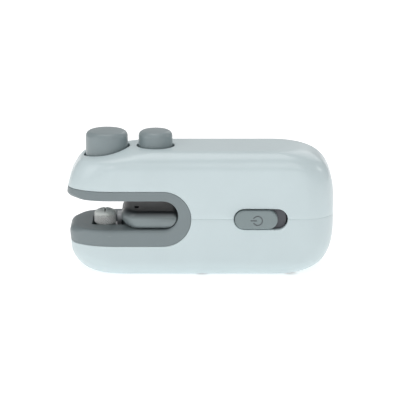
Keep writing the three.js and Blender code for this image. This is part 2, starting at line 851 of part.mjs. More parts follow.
// Needle arm: lug, neck and beam on the throat side of the pivot, yoke and looper leg beyond
const beamLeft = neckLeft + neckLength + 2 * gap;
const yokeDrop = (crankX - pivotX) * Math.sin(THREE.MathUtils.degToRad(armRockDegrees));
const pinReach = crankThrow + crankPinRadius;
const yokeHalf = pinReach + gap;

function needleArm() {
  const w = armHalfWidth;
  const lug = box(needleX, neckLeft + neckLength, -w, w, lugBottom, lugTop);
  const lugEnd = rodZ(needleX, 0, lugRadius, lugBottom, lugTop, roundSides);
  const neck = box(neckLeft, neckLeft + neckLength, -w, w, lugBottom, neckTop);
  const link = box(neckLeft, beamLeft + overrun, -w, w, armBottom, neckTop);
  const beam = box(beamLeft, pivotX, -w, w, armBottom, beamTop);
  const boss = rodY(pivotX, pivotZ, pivotBossRadius, -w, w, roundSides);
  const leg = box(pivotX - legHalfWidth, pivotX + legHalfWidth, -legHalfWidth, legHalfWidth, looperZ, pivotZ);
  const foot = rodY(pivotX, looperZ, legHalfWidth, -legHalfWidth, legHalfWidth);
  const tail = box(
    pivotX, crankX, yokeFront, yokeBack,
    pivotZ - half(pivotBossRadius), pivotZ + half(pivotBossRadius),
  );
  const frame = box(
    crankX - yokeHalf - yokeWall, crankX + yokeHalf + yokeWall, yokeFront, yokeBack,
    pivotZ - yokeHalf - yokeWall, pivotZ + yokeHalf + yokeDrop + yokeWall,
  );
  const window = box(
    crankX - yokeHalf, crankX + yokeHalf, yokeFront - overrun, yokeBack + overrun,
    pivotZ - yokeHalf, pivotZ + yokeHalf + yokeDrop,
  );
  const boreRadius = pivotPinRadius + bushWall + 2 * gap;
  const bore = rodY(pivotX, pivotZ, boreRadius, -w - overrun, w + overrun, roundSides);
  const needleBore = rodZ(needleX, 0, colletBore, 0, throatMiddle);
  return cut(joined(lug, lugEnd, neck, link, beam, boss, leg, foot, tail, frame), window, bore, needleBore);
}

function armShroud() {
  const [low, high] = [shroudLowCorner, shroudHighCorner];
  const outline = roundedBox(shroudLeft, shroudRight, shroudBottom, shroudTop, low, high);
  const pebble = pillowXZ(outline, -shroudHalfWidth, shroudHalfWidth, shroudRound, flankSteps);
  const [cornerX, cornerY] = [shroudLeft + shroudPlanReach, shroudHalfWidth - shroudPlanDepth];
  const plan = new THREE.Shape();
  plan.moveTo(shroudRight, -shroudHalfWidth);
  plan.lineTo(shroudRight, shroudHalfWidth);
  plan.absellipse(cornerX, cornerY, shroudPlanReach, shroudPlanDepth, half(Math.PI), Math.PI, false, 0);
  plan.absellipse(cornerX, -cornerY, shroudPlanReach, shroudPlanDepth, Math.PI, 3 * half(Math.PI), false, 0);
  const w = armHalfWidth + gap;
  const throatRoom = joined(
    box(shroudLeft - overrun, throatEndX, -backY, backY, 0, bodyHeight),
    rodY(throatEndX, throatMiddle, throatRadius - shroudEndGap, -backY, backY, throatSides),
  );
  return cut(
    pebble.intersect(slabXY(plan, shroudBottom, shroudTop)).intersect(throatRoom),
    box(noseX, pivotX, -w, w, 0, beamTop + gap),
  );
}

function armBush() {
  const w = armHalfWidth;
  const inner = pivotPinRadius + gap;
  const ring = rodY(pivotX, pivotZ, inner + bushWall, -w, w, roundSides);
  return ring.subtract(rodY(pivotX, pivotZ, inner, -w - overrun, w + overrun, roundSides));
}

const bracketFront = -armHalfWidth - 2 * gap - earThickness;
const bracketLeft = pivotX - pivotBossRadius;
const bracketRight = pivotX + pivotBossRadius;
const bridgeBottom = beamTop + bridgeRoom;
const bridgeTop = bridgeBottom + earThickness;

function pivotBracket() {
  const [x0, x1] = [bracketLeft, bracketRight];
  const back = plateFront - gap;
  const earBack = bracketFront + earThickness;
  const ear = box(x0, x1, bracketFront, earBack, pivotZ - pivotBossRadius, bridgeTop);
  const bridge = box(x0, x1, bracketFront, back, bridgeBottom, bridgeTop);
  const foot = box(x0, x1, back - earThickness, back, bridgeBottom, bridgeTop + 2 * earThickness);
  const hole = rodY(pivotX, pivotZ, pivotPinRadius + gap, bracketFront - overrun, earBack + overrun);
  return joined(ear, bridge, foot).subtract(hole);
}

function armPivotPin() {
  return rodY(pivotX, pivotZ, pivotPinRadius, bracketFront - pinEnd, plateBack + pinEnd);
}

// Needle clamp
function needleCollet() {
  const shoulder = nutTop - nutWeb - gap;
  const domeTop = nutTop + colletDomeHeight;
  const body = turnedZ([
    [0, nutBottom],
    [colletRadius, nutBottom],
    [colletRadius, shoulder],
    [colletDomeRadius, shoulder],
    [colletDomeRadius, nutTop],
    [colletDomeRadius - colletDomeEdge, domeTop - half(half(colletDomeHeight))],
    [0, domeTop],
  ], needleX, 0);
  const slit = box(
    needleX - half(colletSlit), needleX + half(colletSlit),
    -nutRadius, nutRadius, domeTop - colletSlitDepth, domeTop + overrun,
  );
  return cut(body, slit, rodZ(needleX, 0, colletBore, nutBottom - overrun, needleTop + colletSlit));
}

function clampNut() {
  const ridges = [];
  for (let k = 0; k < nutRidges; k += 1) {
    const angle = k / nutRidges * 2 * Math.PI;
    const next = half(2 * k + 1) / nutRidges * 2 * Math.PI;
    const valley = nutRadius - ridgeDepth;
    ridges.push([needleX + nutRadius * Math.cos(angle), nutRadius * Math.sin(angle)]);
    ridges.push([needleX + valley * Math.cos(next), valley * Math.sin(next)]);
  }
  const envelope = turnedZ([
    [0, nutBottom],
    [nutRadius + overrun, nutBottom],
    [nutRadius + overrun, nutTop - nutShoulder - overrun],
    [nutRadius - nutShoulder, nutTop],
    [0, nutTop],
  ], needleX, 0);
  const body = slabXY(polygon(ridges), nutBottom, nutTop).intersect(envelope);
  return cut(
    body,
    rodZ(needleX, 0, nutMouth, nutBottom, nutTop + overrun, roundSides),
    rodZ(needleX, 0, colletRadius + gap, nutBottom - overrun, nutTop - nutWeb, roundSides),
  );
}

function needle() {
  const tip = linerBottom - needleReach;
  return turnedZ([
    [0, tip],
    [needleRadius, tip + needlePoint],
    [needleRadius, needleTop],
    [0, needleTop],
  ], needleX, 0, needleSides);
}

// Gears
const pressure = THREE.MathUtils.degToRad(pressureDegrees);

function involute(angle) {
  return Math.tan(angle) - angle;
}

// Outline of a spur gear, its first tooth centred on the given direction.
function gearOutline(teeth, addendumShare, direction) {
  const pitch = gearModule * teeth / 2;
  const base = pitch * Math.cos(pressure);
  const tip = pitch + addendumShare * gearModule;
  const root = pitch - dedendumShare * gearModule;
  const halfAt = (radius) => {
    const lean = Math.acos(Math.min(1, base / radius));
    return (1 - backlashShare) * Math.PI / (2 * teeth) + involute(pressure) - involute(lean);
  };
  const points = [];
  for (let k = 0; k < teeth; k += 1) {
    const middle = direction + k / teeth * 2 * Math.PI;
    const corners = [
      [root, -halfAt(root)], [tip, -halfAt(tip)], [tip, halfAt(tip)], [root, halfAt(root)],
    ];
    corners.forEach(([radius, turn]) => {
      points.push([radius * Math.cos(middle + turn), radius * Math.sin(middle + turn)]);
    });
  }
  return points;
}

function spurGear(x, z, teeth, addendumShare, direction, y0, y1) {
  const outline = gearOutline(teeth, addendumShare, direction).map(([u, v]) => [x + u, z + v]);
  return slabXZ(polygon(outline), y0, y1);
}

// The first tooth that points back along a line of centres has a space facing it.
function spaceFacing(direction, teeth) {
  return direction + Math.PI + Math.PI / teeth;
}

function crankGear() {
  const [y0, y1] = [crankGearFront, crankGearFront + gearWidth];
  const gear = spurGear(crankX, pivotZ, wheelTeeth, wheelAddendumShare, idlerDirection, y0, y1);
  return gear.subtract(rodY(crankX, pivotZ, crankShaftRadius + gap, plateFront, backY));
}

function idlerGear() {
  const turn = spaceFacing(idlerDirection, pinionTeeth);
  const [share, back] = [pinionAddendumShare, idlerPinionBack];
  const pinion = spurGear(idlerX, idlerZ, pinionTeeth, share, turn, wheelFront, back);
  const [towards, wheelBack] = [motorDirection, wheelFront + gearWidth];
  const wheel = spurGear(idlerX, idlerZ, wheelTeeth, wheelAddendumShare, towards, wheelFront, wheelBack);
  return joined(pinion, wheel).subtract(rodY(idlerX, idlerZ, axleRadius + half(gap), plateFront, backY));
}

function motorPinion() {
  const turn = spaceFacing(motorDirection, pinionTeeth);
  const [y0, y1] = [wheelFront, wheelFront + gearWidth];
  const gear = spurGear(motorX, motorZ, pinionTeeth, pinionAddendumShare, turn, y0, y1);
  return gear.subtract(rodY(motorX, motorZ, axleRadius + half(gap), plateFront, backY));
}

function idlerAxle() {
  return rodY(idlerX, idlerZ, axleRadius, plateFront + gap, rearPlateBack - gap);
}

function crankShaft() {
  const middle = half(crankDiscFront + crankDiscBack);
  const disc = rodY(crankX, pivotZ, crankDiscRadius, crankDiscFront, crankDiscBack, roundSides);
  const pin = rodY(crankX, pivotZ + crankThrow, crankPinRadius, yokeFront - crankPinEnd, middle);
  const shaft = rodY(crankX, pivotZ, crankShaftRadius, middle, rearPlateBack - gap);
  return joined(disc, pin, shaft);
}

const motorBack = plateFront - gap;
const motorFront = motorBack - motorLength;

function motorCan() {
  const can = turnedY([
    [0, motorFront],
    [motorRadius - motorEdge, motorFront],
    [motorRadius, motorFront + motorEdge],
    [motorRadius, motorBack - motorEdge],
    [motorRadius - motorEdge, motorBack],
    [motorCollarRadius, motorBack],
    [motorCollarRadius, motorBack + motorCollarHeight],
    [0, motorBack + motorCollarHeight],
  ], motorX, motorZ);
  return can.subtract(rodY(motorX, motorZ, axleRadius + gap, motorBack - motorShaftBuried, plateBack));
}

function motorShaft() {
  return rodY(motorX, motorZ, axleRadius, motorBack - motorShaftBuried + gap, wheelFront + gearWidth + gap);
}

// Plates and spacers
function spacerPlaces() {
  const reach = wheelRadius + 2 * spacerRadius;
  return [
    { x: crankX - reach * Math.cos(idlerDirection), z: pivotZ - reach * Math.sin(motorDirection) },
    { x: crankX - half(reach), z: pivotZ + reach + spacerRadius },
    { x: idlerX + half(spacerRadius), z: idlerZ - reach },
  ];
}

function plateHoles(front, back) {
  return [
    rodY(crankX, pivotZ, crankShaftRadius + gap, front, back),
    rodY(idlerX, idlerZ, axleRadius + gap, front, back),
    ...spacerPlaces().map(({ x, z }) => rodY(x, z, half(spacerRadius) + gap, front, back)),
  ];
}

function gearPlate() {
  const [left, right] = [leftLegX, rightLegX + legWidth];
  const bottom = pivotZ - plateBottomDrop;
  const outline = polygon([
    [left, leftLegBottom],
    [left + legWidth, leftLegBottom],
    [left + legWidth, bottom],
    [right - legWidth, bottom],
    [right - legWidth, rightLegBottom],
    [right, rightLegBottom],
    [right, pivotZ + plateShoulderRise],
    [tailX - plateTopFromTail, plateTop],
    [pivotX, plateTop],
    [left, linerTop],
  ]);
  const [front, back] = [plateFront - overrun, plateBack + overrun];
  return cut(
    slabXZ(outline, plateFront, plateBack),
    ...plateHoles(front, back),
    rodY(pivotX, pivotZ, pivotPinRadius + gap, front, back),
    rodY(motorX, motorZ, motorCollarRadius + gap, front, back, roundSides),
    rodY(tensionX, tensionZ, axleRadius + gap, front, back),
  );
}

function rearPlate() {
  const places = spacerPlaces();
  const left = Math.min(...places.map(({ x }) => x)) - rearPlateMargin;
  const right = Math.max(...places.map(({ x }) => x)) + rearPlateMargin;
  const bottom = Math.min(...places.map(({ z }) => z)) - rearPlateMargin;
  const top = Math.max(...places.map(({ z }) => z)) + rearPlateMargin;
  const shape = roundedBox(left, right, bottom, top, rearPlateMargin, rearPlateMargin);
  return cut(
    slabXZ(shape, rearPlateFront, rearPlateBack, flankSteps),
    ...plateHoles(rearPlateFront - overrun, rearPlateBack + overrun),
  );
}

function plateSpacer({ x, z }) {
  const waist = rodY(x, z, spacerRadius, plateBack + gap, rearPlateFront - gap);
  const tenon = rodY(x, z, half(spacerRadius), plateFront + gap, rearPlateBack - gap);
  return waist.add(tenon);
}

// Looper
function looperBar() {
  const hookX = needleX - hookPoint;
  const barLeft = hookX + hookLength;
  const [z0, z1] = [looperZ - half(looperThickness), looperZ + half(looperThickness)];
  const bar = box(barLeft, looperEndX, -looperHalfWidth, looperHalfWidth, z0, z1);
  const hook = polygon([
    [hookX, hookNear],
    [hookX + hookPoint, hookFar],
    [barLeft + overrun, hookFar],
    [barLeft + overrun, hookNear],
  ]);
  const side = legHalfWidth + gap;
  const slot = box(pivotX - side, pivotX + side, -side, side, z0 - overrun, z1 + overrun);
  return joined(bar, slabXY(hook, z0, z1)).subtract(slot);
}

function looperGuide(x) {
  const [z0, z1] = [looperZ - half(looperThickness) - gap, looperZ + half(looperThickness) + gap];
  const block = box(x, x + guideWidth, -guideHalfDepth, guideHalfDepth, wall + gap, z1 + guideRoof);
  const side = looperHalfWidth + gap;
  return block.subtract(box(x - overrun, x + guideWidth + overrun, -side, side, z0, z1));
}

// Thread tension
const tensionMiddle = half(motorFront + motorBack);

function tensionDisc(middle, side) {
  const [flat, rim] = [middle + side * half(gap), middle + side * (half(gap) + tensionDiscDish)];
  const thickness = side * tensionDiscThickness;
  const disc = turnedY([
    [0, flat],
    [half(tensionDiscRadius), flat],
    [tensionDiscRadius, rim],
    [tensionDiscRadius, rim + thickness],
    [half(tensionDiscRadius), flat + thickness],
    [0, flat + thickness],
  ], tensionX, tensionZ);
  return disc.subtract(rodY(tensionX, tensionZ, axleRadius + gap, frontY, backY));
}

const tensionSpringBack = tensionMiddle - half(gap) - tensionDiscThickness - gap;
const tensionSpringFront = tensionSpringBack - tensionSpringLength;

function tensionSpring() {
  const sleeve = rodY(tensionX, tensionZ, tensionSpringRadius, tensionSpringFront, tensionSpringBack);
  return sleeve.subtract(rodY(tensionX, tensionZ, axleRadius + gap, frontY, backY));
}

function tensionPost() {
  const headBack = tensionSpringFront - gap;
  const collarFront = tensionMiddle + gap + 2 * tensionDiscThickness;
  const head = rodY(tensionX, tensionZ, tensionHeadRadius, headBack - tensionHeadThickness, headBack);
  const collar = rodY(tensionX, tensionZ, tensionHeadRadius, collarFront, motorBack);
  const post = rodY(tensionX, tensionZ, axleRadius, headBack - half(tensionHeadThickness), plateBack - gap);
  return joined(head, post, collar);
}

// Power
function batteryCell() {
  return rodX(cellY, cellZ, cellRadius, cellLeft, cellRight, roundSides);
}

function cellContact(x) {
  const y = contactHalfWidth;
  const low = cellZ - half(contactHeight);
  return box(x, x + contactThickness, cellY - y, cellY + y, low, low + contactHeight);
}

function chargeBoard() {
  const y = chargeBoardHalfWidth;
  const top = chargeBoardBottom + chargeBoardThickness;
  return box(chargeBoardLeft, chargeBoardRight, -y, y, chargeBoardBottom, top);
}

function chargeSocket() {
  const right = tailX - socketRecess;
  const left = right - socketLength;
  const y = half(socketWidth);
  const z = half(socketHeight);
  const [innerY, innerZ] = [y - socketWall, z - socketWall];
  const can = box(left, right, -y, y, seamZ - z, seamZ + z);
  const mouth = box(left + socketRecess, right + overrun, -innerY, innerY, seamZ - innerZ, seamZ + innerZ);
  const [tongueY, tongueZ] = [innerY - socketWall - socketTongue, half(socketTongue)];
  const tongue = box(left, right - socketTongue, -tongueY, tongueY, seamZ - tongueZ, seamZ + tongueZ);
  return cut(can, mouth).add(tongue);
}

function caseScrew({ x, y }) {
  const headTop = screwHeadZ + screwHeadHeight;
  return turnedZ([
    [0, screwHeadZ],
    [screwHeadRadius, screwHeadZ],
    [screwHeadRadius, headTop],
    [screwShankRadius, headTop],
    [screwShankRadius, screwHeadZ + screwLength - screwShankRadius],
    [0, screwHeadZ + screwLength],
  ], x, y, smallSides);
}

// Assembly
const shellWhite = { color: 0xd3dfe1, roughness: 0.42, metalness: 0 };
const grip = { color: 0x848f92, roughness: 0.5, metalness: 0 };
const switchGrey = { color: 0x859294, roughness: 0.5, metalness: 0 };
const steel = { color: 0x9fa6a5, roughness: 0.35, metalness: 0.9 };
const brass = { color: 0xb8975a, roughness: 0.35, metalness: 0.9 };
const nylon = { color: 0xe4e1d4, roughness: 0.55, metalness: 0 };
const boardGreen = { color: 0x2c5b41, roughness: 0.6, metalness: 0 };
const black = { color: 0x202224, roughness: 0.6, metalness: 0 };
const cellBlue = { color: 0x3f6f9e, roughness: 0.4, metalness: 0 };

const group = new THREE.Group();
group.position.y = slideProud / 2;

function add(name, body, finish) {
  const mesh = new THREE.Mesh(geometryOf(body), new THREE.MeshStandardMaterial(finish));
  mesh.name = name;
  group.add(mesh);
}

add('upper_shell', upperShell(), shellWhite);
add('lower_shell', lowerShell(), shellWhite);
add('throat_liner', throatLiner(), grip);
add('base_mat', slabXY(matOutline(0), 0, matProud + matBuried), grip);
add('large_button', buttonCap(largeButtonX, largeButtonRadius, largeFlangeDrop, largeButtonTravel), grip);
add('small_button', buttonCap(smallButtonX, smallButtonRadius, smallFlangeDrop, smallButtonTravel), grip);
add('large_button_spring', coilSpring(largeButtonX, largeSpringRadius), steel);
add('small_button_spring', coilSpring(smallButtonX, smallSpringRadius), steel);
add('button_board', buttonBoard(), boardGreen);
add('run_switch', tactSwitch(largeButtonX), black);
add('jog_switch', tactSwitch(smallButtonX), black);
add('power_slide', powerSlide(), switchGrey);
add('switch_lever', switchLever(), black);
add('switch_body', switchBody(), black);
add('main_board', mainBoard(), boardGreen);
add('needle_arm', needleArm(), steel);
add('arm_shroud', armShroud(), grip);
add('arm_bush', armBush(), brass);
add('arm_pivot_pin', armPivotPin(), steel);
add('pivot_bracket', pivotBracket(), steel);
add('needle_collet', needleCollet(), steel);
add('clamp_nut', clampNut(), steel);
add('needle', needle(), steel);
add('gear_plate', gearPlate(), steel);
add('rear_plate', rearPlate(), steel);
spacerPlaces().forEach((place, k) => add(`plate_spacer_${k + 1}`, plateSpacer(place), steel));
add('motor_can', motorCan(), steel);
add('motor_shaft', motorShaft(), steel);
add('motor_pinion', motorPinion(), brass);
add('idler_gear', idlerGear(), nylon);
add('idler_axle', idlerAxle(), steel);
add('crank_gear', crankGear(), nylon);
add('crank_shaft', crankShaft(), steel);
add('looper_bar', looperBar(), steel);
add('looper_guide_left', looperGuide(needleX + leftGuideFromNeedle), nylon);
add('looper_guide_right', looperGuide(pivotX - rightGuideFromPivot), nylon);
add('tension_post', tensionPost(), steel);
add('tension_disc_front', tensionDisc(tensionMiddle, -1), steel);
add('tension_disc_back', tensionDisc(tensionMiddle, 1), steel);
add('tension_spring', tensionSpring(), steel);
add('battery_cell', batteryCell(), cellBlue);
add('cell_contact_left', cellContact(leftContactX), steel);
add('cell_contact_right', cellContact(rightContactX), steel);
add('charge_board', chargeBoard(), boardGreen);
add('charge_socket', chargeSocket(), steel);
screwPlaces().forEach((place, k) => add(`case_screw_${k + 1}`, caseScrew(place), steel));

export default group;
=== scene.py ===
# %% [markdown]
# # A mini bag closer, dressed for its photograph
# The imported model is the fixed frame: every part has its true place and size there, in metres.
# This script keeps those places and gives each visible part a finer skin and a finish.
# Forms that the moulder made by one rule, such as the casing, are made here by the same rule.

# %% Load the frame and keep its box
import json
import math

import bpy
import numpy as np
from mathutils import Matrix, Vector


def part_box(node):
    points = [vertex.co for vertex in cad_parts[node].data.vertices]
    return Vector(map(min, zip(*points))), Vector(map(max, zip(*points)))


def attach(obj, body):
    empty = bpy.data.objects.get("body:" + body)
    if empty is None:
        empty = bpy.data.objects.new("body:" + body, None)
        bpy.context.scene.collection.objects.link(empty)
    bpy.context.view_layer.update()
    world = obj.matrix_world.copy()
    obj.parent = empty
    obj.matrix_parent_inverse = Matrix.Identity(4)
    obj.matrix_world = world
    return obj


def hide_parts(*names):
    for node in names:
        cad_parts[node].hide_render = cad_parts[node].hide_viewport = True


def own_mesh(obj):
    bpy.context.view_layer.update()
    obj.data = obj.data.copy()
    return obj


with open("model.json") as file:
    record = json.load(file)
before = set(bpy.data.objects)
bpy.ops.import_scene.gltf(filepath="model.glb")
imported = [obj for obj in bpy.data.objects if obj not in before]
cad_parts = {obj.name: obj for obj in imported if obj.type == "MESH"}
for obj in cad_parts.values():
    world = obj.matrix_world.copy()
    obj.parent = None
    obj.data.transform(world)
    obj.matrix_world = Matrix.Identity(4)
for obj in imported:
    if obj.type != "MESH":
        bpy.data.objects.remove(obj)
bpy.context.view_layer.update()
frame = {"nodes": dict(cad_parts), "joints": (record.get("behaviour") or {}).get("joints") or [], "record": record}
nodes = frame["nodes"]

# %% [markdown]
# ## Driving sizes
# The casing is a long rounded body whose ends are soft ellipses, so a handful of lengths give all of it.
# They are kept in millimetres, as on a drawing, and turned to metres only when a mesh is made.
# GAP is the play between parts, and PAST is how far a cutting tool reaches past what it cuts.
# What the frame can tell, such as where a button stands, is read from its box instead of typed.

# %% Sizes of the casing and its openings, in millimetres
MM = 0.001
LENGTH, HEIGHT, DEPTH = 120, 57, 38
WALL, EDGE, GAP, PAST = 2, 8, 0.3, 1
NOSE_TOP_REACH, NOSE_TOP_DROP = 17.2, 22.4
SLOPE_START, SLOPE_RUN, SLOPE_BLEND = 27.5, 5, 3
NOSE_LOW_REACH, NOSE_LOW_RISE = 14.8, 20
JAW_BACK, JAW_BACK_FROM, JAW_BACK_TO = 1.15, 9, 16
TAIL_REACH, TAIL_RISE, TAIL_POWER = 25.3, 26.6, 3
NOSE_CORNER, TAIL_CORNER, CORNER_DEPTH = 20, 14, 13
NOSE_X, TAIL_X = -LENGTH / 2, LENGTH / 2


class Box:
    """The box round a frame node, in millimetres."""

    def __init__(self, node):
        self.low, self.high = (np.array(corner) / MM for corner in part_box(node))
        self.left, self.front, self.bottom = self.low
        self.right, self.back, self.top = self.high
        self.x, self.y, self.z = (self.low + self.high) / 2
        self.wide, self.deep, self.tall = self.high - self.low


liner_box, shell_box = Box("throat_liner"), Box("lower_shell")
nut_box, shroud_box = Box("clamp_nut"), Box("arm_shroud")
MIDDLE_Y, SEAM = shell_box.y, liner_box.z
FRONT_Y, BACK_Y = MIDDLE_Y - DEPTH / 2, MIDDLE_Y + DEPTH / 2
LINER_TOP, LINER_BOTTOM, LINER_RADIUS = liner_box.top, liner_box.bottom, liner_box.tall / 2
TOP_BAND, FLOOR_BAND = 4.3, 7.3
THROAT_TOP, THROAT_FLOOR = LINER_TOP - TOP_BAND, LINER_BOTTOM + FLOOR_BAND
THROAT_MIDDLE, THROAT_RADIUS = (THROAT_TOP + THROAT_FLOOR) / 2, (THROAT_TOP - THROAT_FLOOR) / 2
THROAT_END = liner_box.right - LINER_RADIUS
NEEDLE_X, NUT_RADIUS = nut_box.x, nut_box.wide / 2
# The knurl's points carry a painted highlight down to a set depth below their tips.
KNURL_HEIGHT, KNURL_PAINTED_TIP = 0.32, 0.2
NUT_CORE = NUT_RADIUS - KNURL_HEIGHT
SLOT_LENGTH, SLOT_HEIGHT, SLOT_X = 24, 9.4, 0.2254 * LENGTH
CAP_LENGTH, CAP_HEIGHT, CAP_PROUD, CAP_EDGE = 19.2, 8.4, 1.3, 0.6
CAP_X = SLOT_X - SLOT_LENGTH / 2 + GAP + CAP_LENGTH / 2
CAP_FRONT, FLANGE_FRONT = FRONT_Y - CAP_PROUD, FRONT_Y + WALL + GAP
SIGN_ASIDE, SIGN_DROP = 0.65, 0.25
SIGN_X, SIGN_Z = CAP_X + SIGN_ASIDE, SEAM - SIGN_DROP
HOLE_X, HOLE_FRONT, HOLE_SIZE, HOLE_LENGTH, HOLE_DEPTH = -28.6, -9.8, 1.9, 3.4, 4
print("throat from Z", round(THROAT_FLOOR, 2), "to", round(THROAT_TOP, 2), "ends at X", round(THROAT_END, 2))

# %% [markdown]
# ## Camera and light
# The photograph is a catalogue shot: a long lens from the front, fifteen degrees above the object,
# on pure white.
# A long lens keeps the object's level lines nearly parallel, so the camera stands a metre away.

# %% Camera and lights
scene = bpy.context.scene
DISTANCE, ELEVATION = 1.0, math.radians(15)
AIM = (-0.00011, 0.00065, 0.03118)
LENS, SENSOR_WIDTH, CLIP_START, CLIP_END = 198.4, 36, 0.01, 20
WORLD_WHITE, WORLD_STRENGTH = (1, 1, 1, 1), 0.27


def add(name, data):
    made = bpy.data.objects.new(name, data)
    scene.collection.objects.link(made)
    return made


camera = add("photo_camera", bpy.data.cameras.new("photo_camera"))
camera.data.lens = LENS
camera.data.sensor_width = SENSOR_WIDTH
camera.location = (AIM[0], AIM[1] - DISTANCE * math.cos(ELEVATION), AIM[2] + DISTANCE * math.sin(ELEVATION))
camera.rotation_euler = (math.pi / 2 - ELEVATION, 0, 0)
camera.data.clip_start, camera.data.clip_end = CLIP_START, CLIP_END
scene.camera = camera


def soft_light(name, place, size, watts):
    """A square soft box at a place, turned to the object."""
    data = bpy.data.lights.new(name, "AREA")
    data.size = size
    data.energy = watts
    lamp = add(name, data)
    lamp.location = place
    lamp.rotation_euler = (lamp.location - Vector(AIM)).to_track_quat("Z", "Y").to_euler()


soft_light("front_box", (0.3, -1.1, 0.75), 0.7, 2.7)
soft_light("top_box", (-0.1, 0.1, 1.2), 0.9, 5.7)
soft_light("left_box", (-1.0, -0.5, 0.5), 0.6, 2.2)
soft_light("back_box", (0.5, 1.0, 0.7), 0.7, 1.6)
soft_light("rear_card", (-0.1, 1.2, 0.3), 1.0, 0.75)
soft_light("left_card", (-0.42, -0.95, 0.5), 0.12, 0.7)
soft_light("right_card", (1.0, 0.14, 0.42), 0.2, 0.8)

world = bpy.data.worlds.new("studio")
scene.world = world
world.use_nodes = True
sky = world.node_tree.nodes["Background"]
sky.inputs["Color"].default_value = WORLD_WHITE
sky.inputs["Strength"].default_value = WORLD_STRENGTH
scene.view_settings.view_transform = "Standard"

# %% [markdown]
# ## Meshes from points
# Every skin below starts as rows of points.
# A cut leaves many thin faces, and light shades those badly if each normal is averaged afresh.
# So each mesh first stores the direction of its own smooth surface on every face corner.
# Boolean cuts carry that value along, and at the end it becomes the shading normal.

# %% Mesh helpers
NORMAL_STORE, SHORTEST_NORMAL = "form_normal", 0.5
SHARP, SHARP_FORM, SHARP_RIM = (math.radians(angle) for angle in (35, 60, 50))


def values_of(items, key, width=1, kind=np.float32):
    """One value of every item of a mesh, a row of numbers for each."""
    flat = np.zeros(len(items) * width, kind)
    items.foreach_get(key, flat)
    return flat.reshape(-1, width)


def solid_from(name, points, faces, sharp=SHARP):
    """A solid from points in millimetres, facing outwards, with the smooth normals stored."""
    mesh = bpy.data.meshes.new(name)
    mesh.from_pydata([tuple(p) for p in np.asarray(points, float) * MM], [], [tuple(f) for f in faces])
    mesh.validate()
    mesh.calc_loop_triangles()
    corners = values_of(mesh.loop_triangles, "vertices", 3, np.int32)
    a, b, c = values_of(mesh.vertices, "co", 3, float)[corners].transpose(1, 0, 2)
    volume = np.einsum("ij,ij->i", a, np.cross(b, c)).sum() / 6
    if volume < 0:
        mesh.flip_normals()
    mesh.shade_smooth()
    mesh.set_sharp_from_angle(angle=sharp)
    mesh.update()
    smooth = values_of(mesh.corner_normals, "vector", 3)
    stored = mesh.attributes.new(NORMAL_STORE, "FLOAT_VECTOR", "CORNER")
    stored.data.foreach_set("vector", smooth.ravel())
    return add(name, mesh)


def bake_modifiers(piece):
    """Turns what the modifiers make into a plain mesh and takes them off."""
    graph = bpy.context.evaluated_depsgraph_get()
    made = bpy.data.meshes.new_from_object(piece.evaluated_get(graph))
    piece.modifiers.clear()
    piece.data = made
    return piece


def combine(piece, tools, operation):
    for tool in tools:
        step = piece.modifiers.new(operation.lower(), "BOOLEAN")
        step.operation = operation
        step.solver = "MANIFOLD"
        step.object = tool
        bake_modifiers(piece)
        bpy.data.objects.remove(tool)
    return piece


def cut(piece, *tools):
    return combine(piece, tools, "DIFFERENCE")


def common(piece, *tools):
    return combine(piece, tools, "INTERSECT")


def use_normals(mesh):
    """Shades a mesh with the stored directions, turned to the side that each face looks to."""
    stored = values_of(mesh.attributes[NORMAL_STORE].data, "vector", 3)
    counts = values_of(mesh.polygons, "loop_total", 1, np.int32).ravel()
    facing = np.repeat(values_of(mesh.polygons, "normal", 3), counts, axis=0)
    side = np.sign(np.einsum("ij,ij->i", stored, facing))
    good = (np.linalg.norm(stored, axis=1) > SHORTEST_NORMAL) & (side != 0)
    normals = np.where(good[:, None], stored * side[:, None], facing)
    mesh.shade_smooth()
    mesh.normals_split_custom_set([tuple(n) for n in normals])
    mesh.attributes.remove(mesh.attributes[NORMAL_STORE])


def finished(piece, body, slot, *replaced, finish=None):
    """Shades a piece, paints it and puts it on its body in place of the frame's nodes."""
    if NORMAL_STORE in piece.data.attributes:
        use_normals(piece.data)
    piece.data.materials.clear()
    piece.data.materials.append(finish or finishes[slot])
    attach(piece, body)
    if replaced:
        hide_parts(*replaced)
    print(piece.name, "has", len(piece.data.polygons), "faces")


def skin(rows):
    """Faces between neighbouring rows of point numbers. Corners that fall together count once."""
    faces = []
    for low, high in zip(rows, rows[1:]):
        for k in range(len(low)):
            n = (k + 1) % len(low)
            corner = [low[k], low[n], high[n], high[k]]
            face = [c for i, c in enumerate(corner) if c != corner[i - 1]]
            if len(face) > 2:
                faces.append(face)
    return faces


def loft(name, rings, sharp=SHARP, ends=True):
    """Joins rings of equal counts in order, with flat ends, or else end to end."""
    points = np.concatenate(rings)
    rows = np.arange(len(points)).reshape(len(rings), -1).tolist()
    faces = skin(rows) + [rows[0][::-1], rows[-1]] if ends else skin(rows + rows[:1])
    return solid_from(name, points, faces, sharp)


def at_y(outline, y):
    return [(x, y, z) for x, z in outline]


def at_z(outline, z):
    return [(x, y, z) for x, y in outline]


def slab(name, outline, front, back):
    """An outline of X and Z values, pushed through from a front Y to a back Y."""
    return loft(name, [at_y(outline, y) for y in (front, back)])


def column(name, outline, bottom, top):
    """An outline of X and Y values, pushed up from one height to another."""
    return loft(name, [at_z(outline, z) for z in (bottom, top)])


def arc(centre, radius, start, end, steps):
    """Points on a circle, or on an ellipse of two radii, between two angles in degrees."""
    across, up = np.broadcast_to(radius, 2)
    angles = np.radians(np.linspace(start, end, steps + 1))
    return [(centre[0] + across * math.cos(a), centre[1] + up * math.sin(a)) for a in angles]


def directions(start, end, steps):
    """The cosine and sine of each angle of such an arc."""
    return arc((0, 0), 1, start, end, steps)


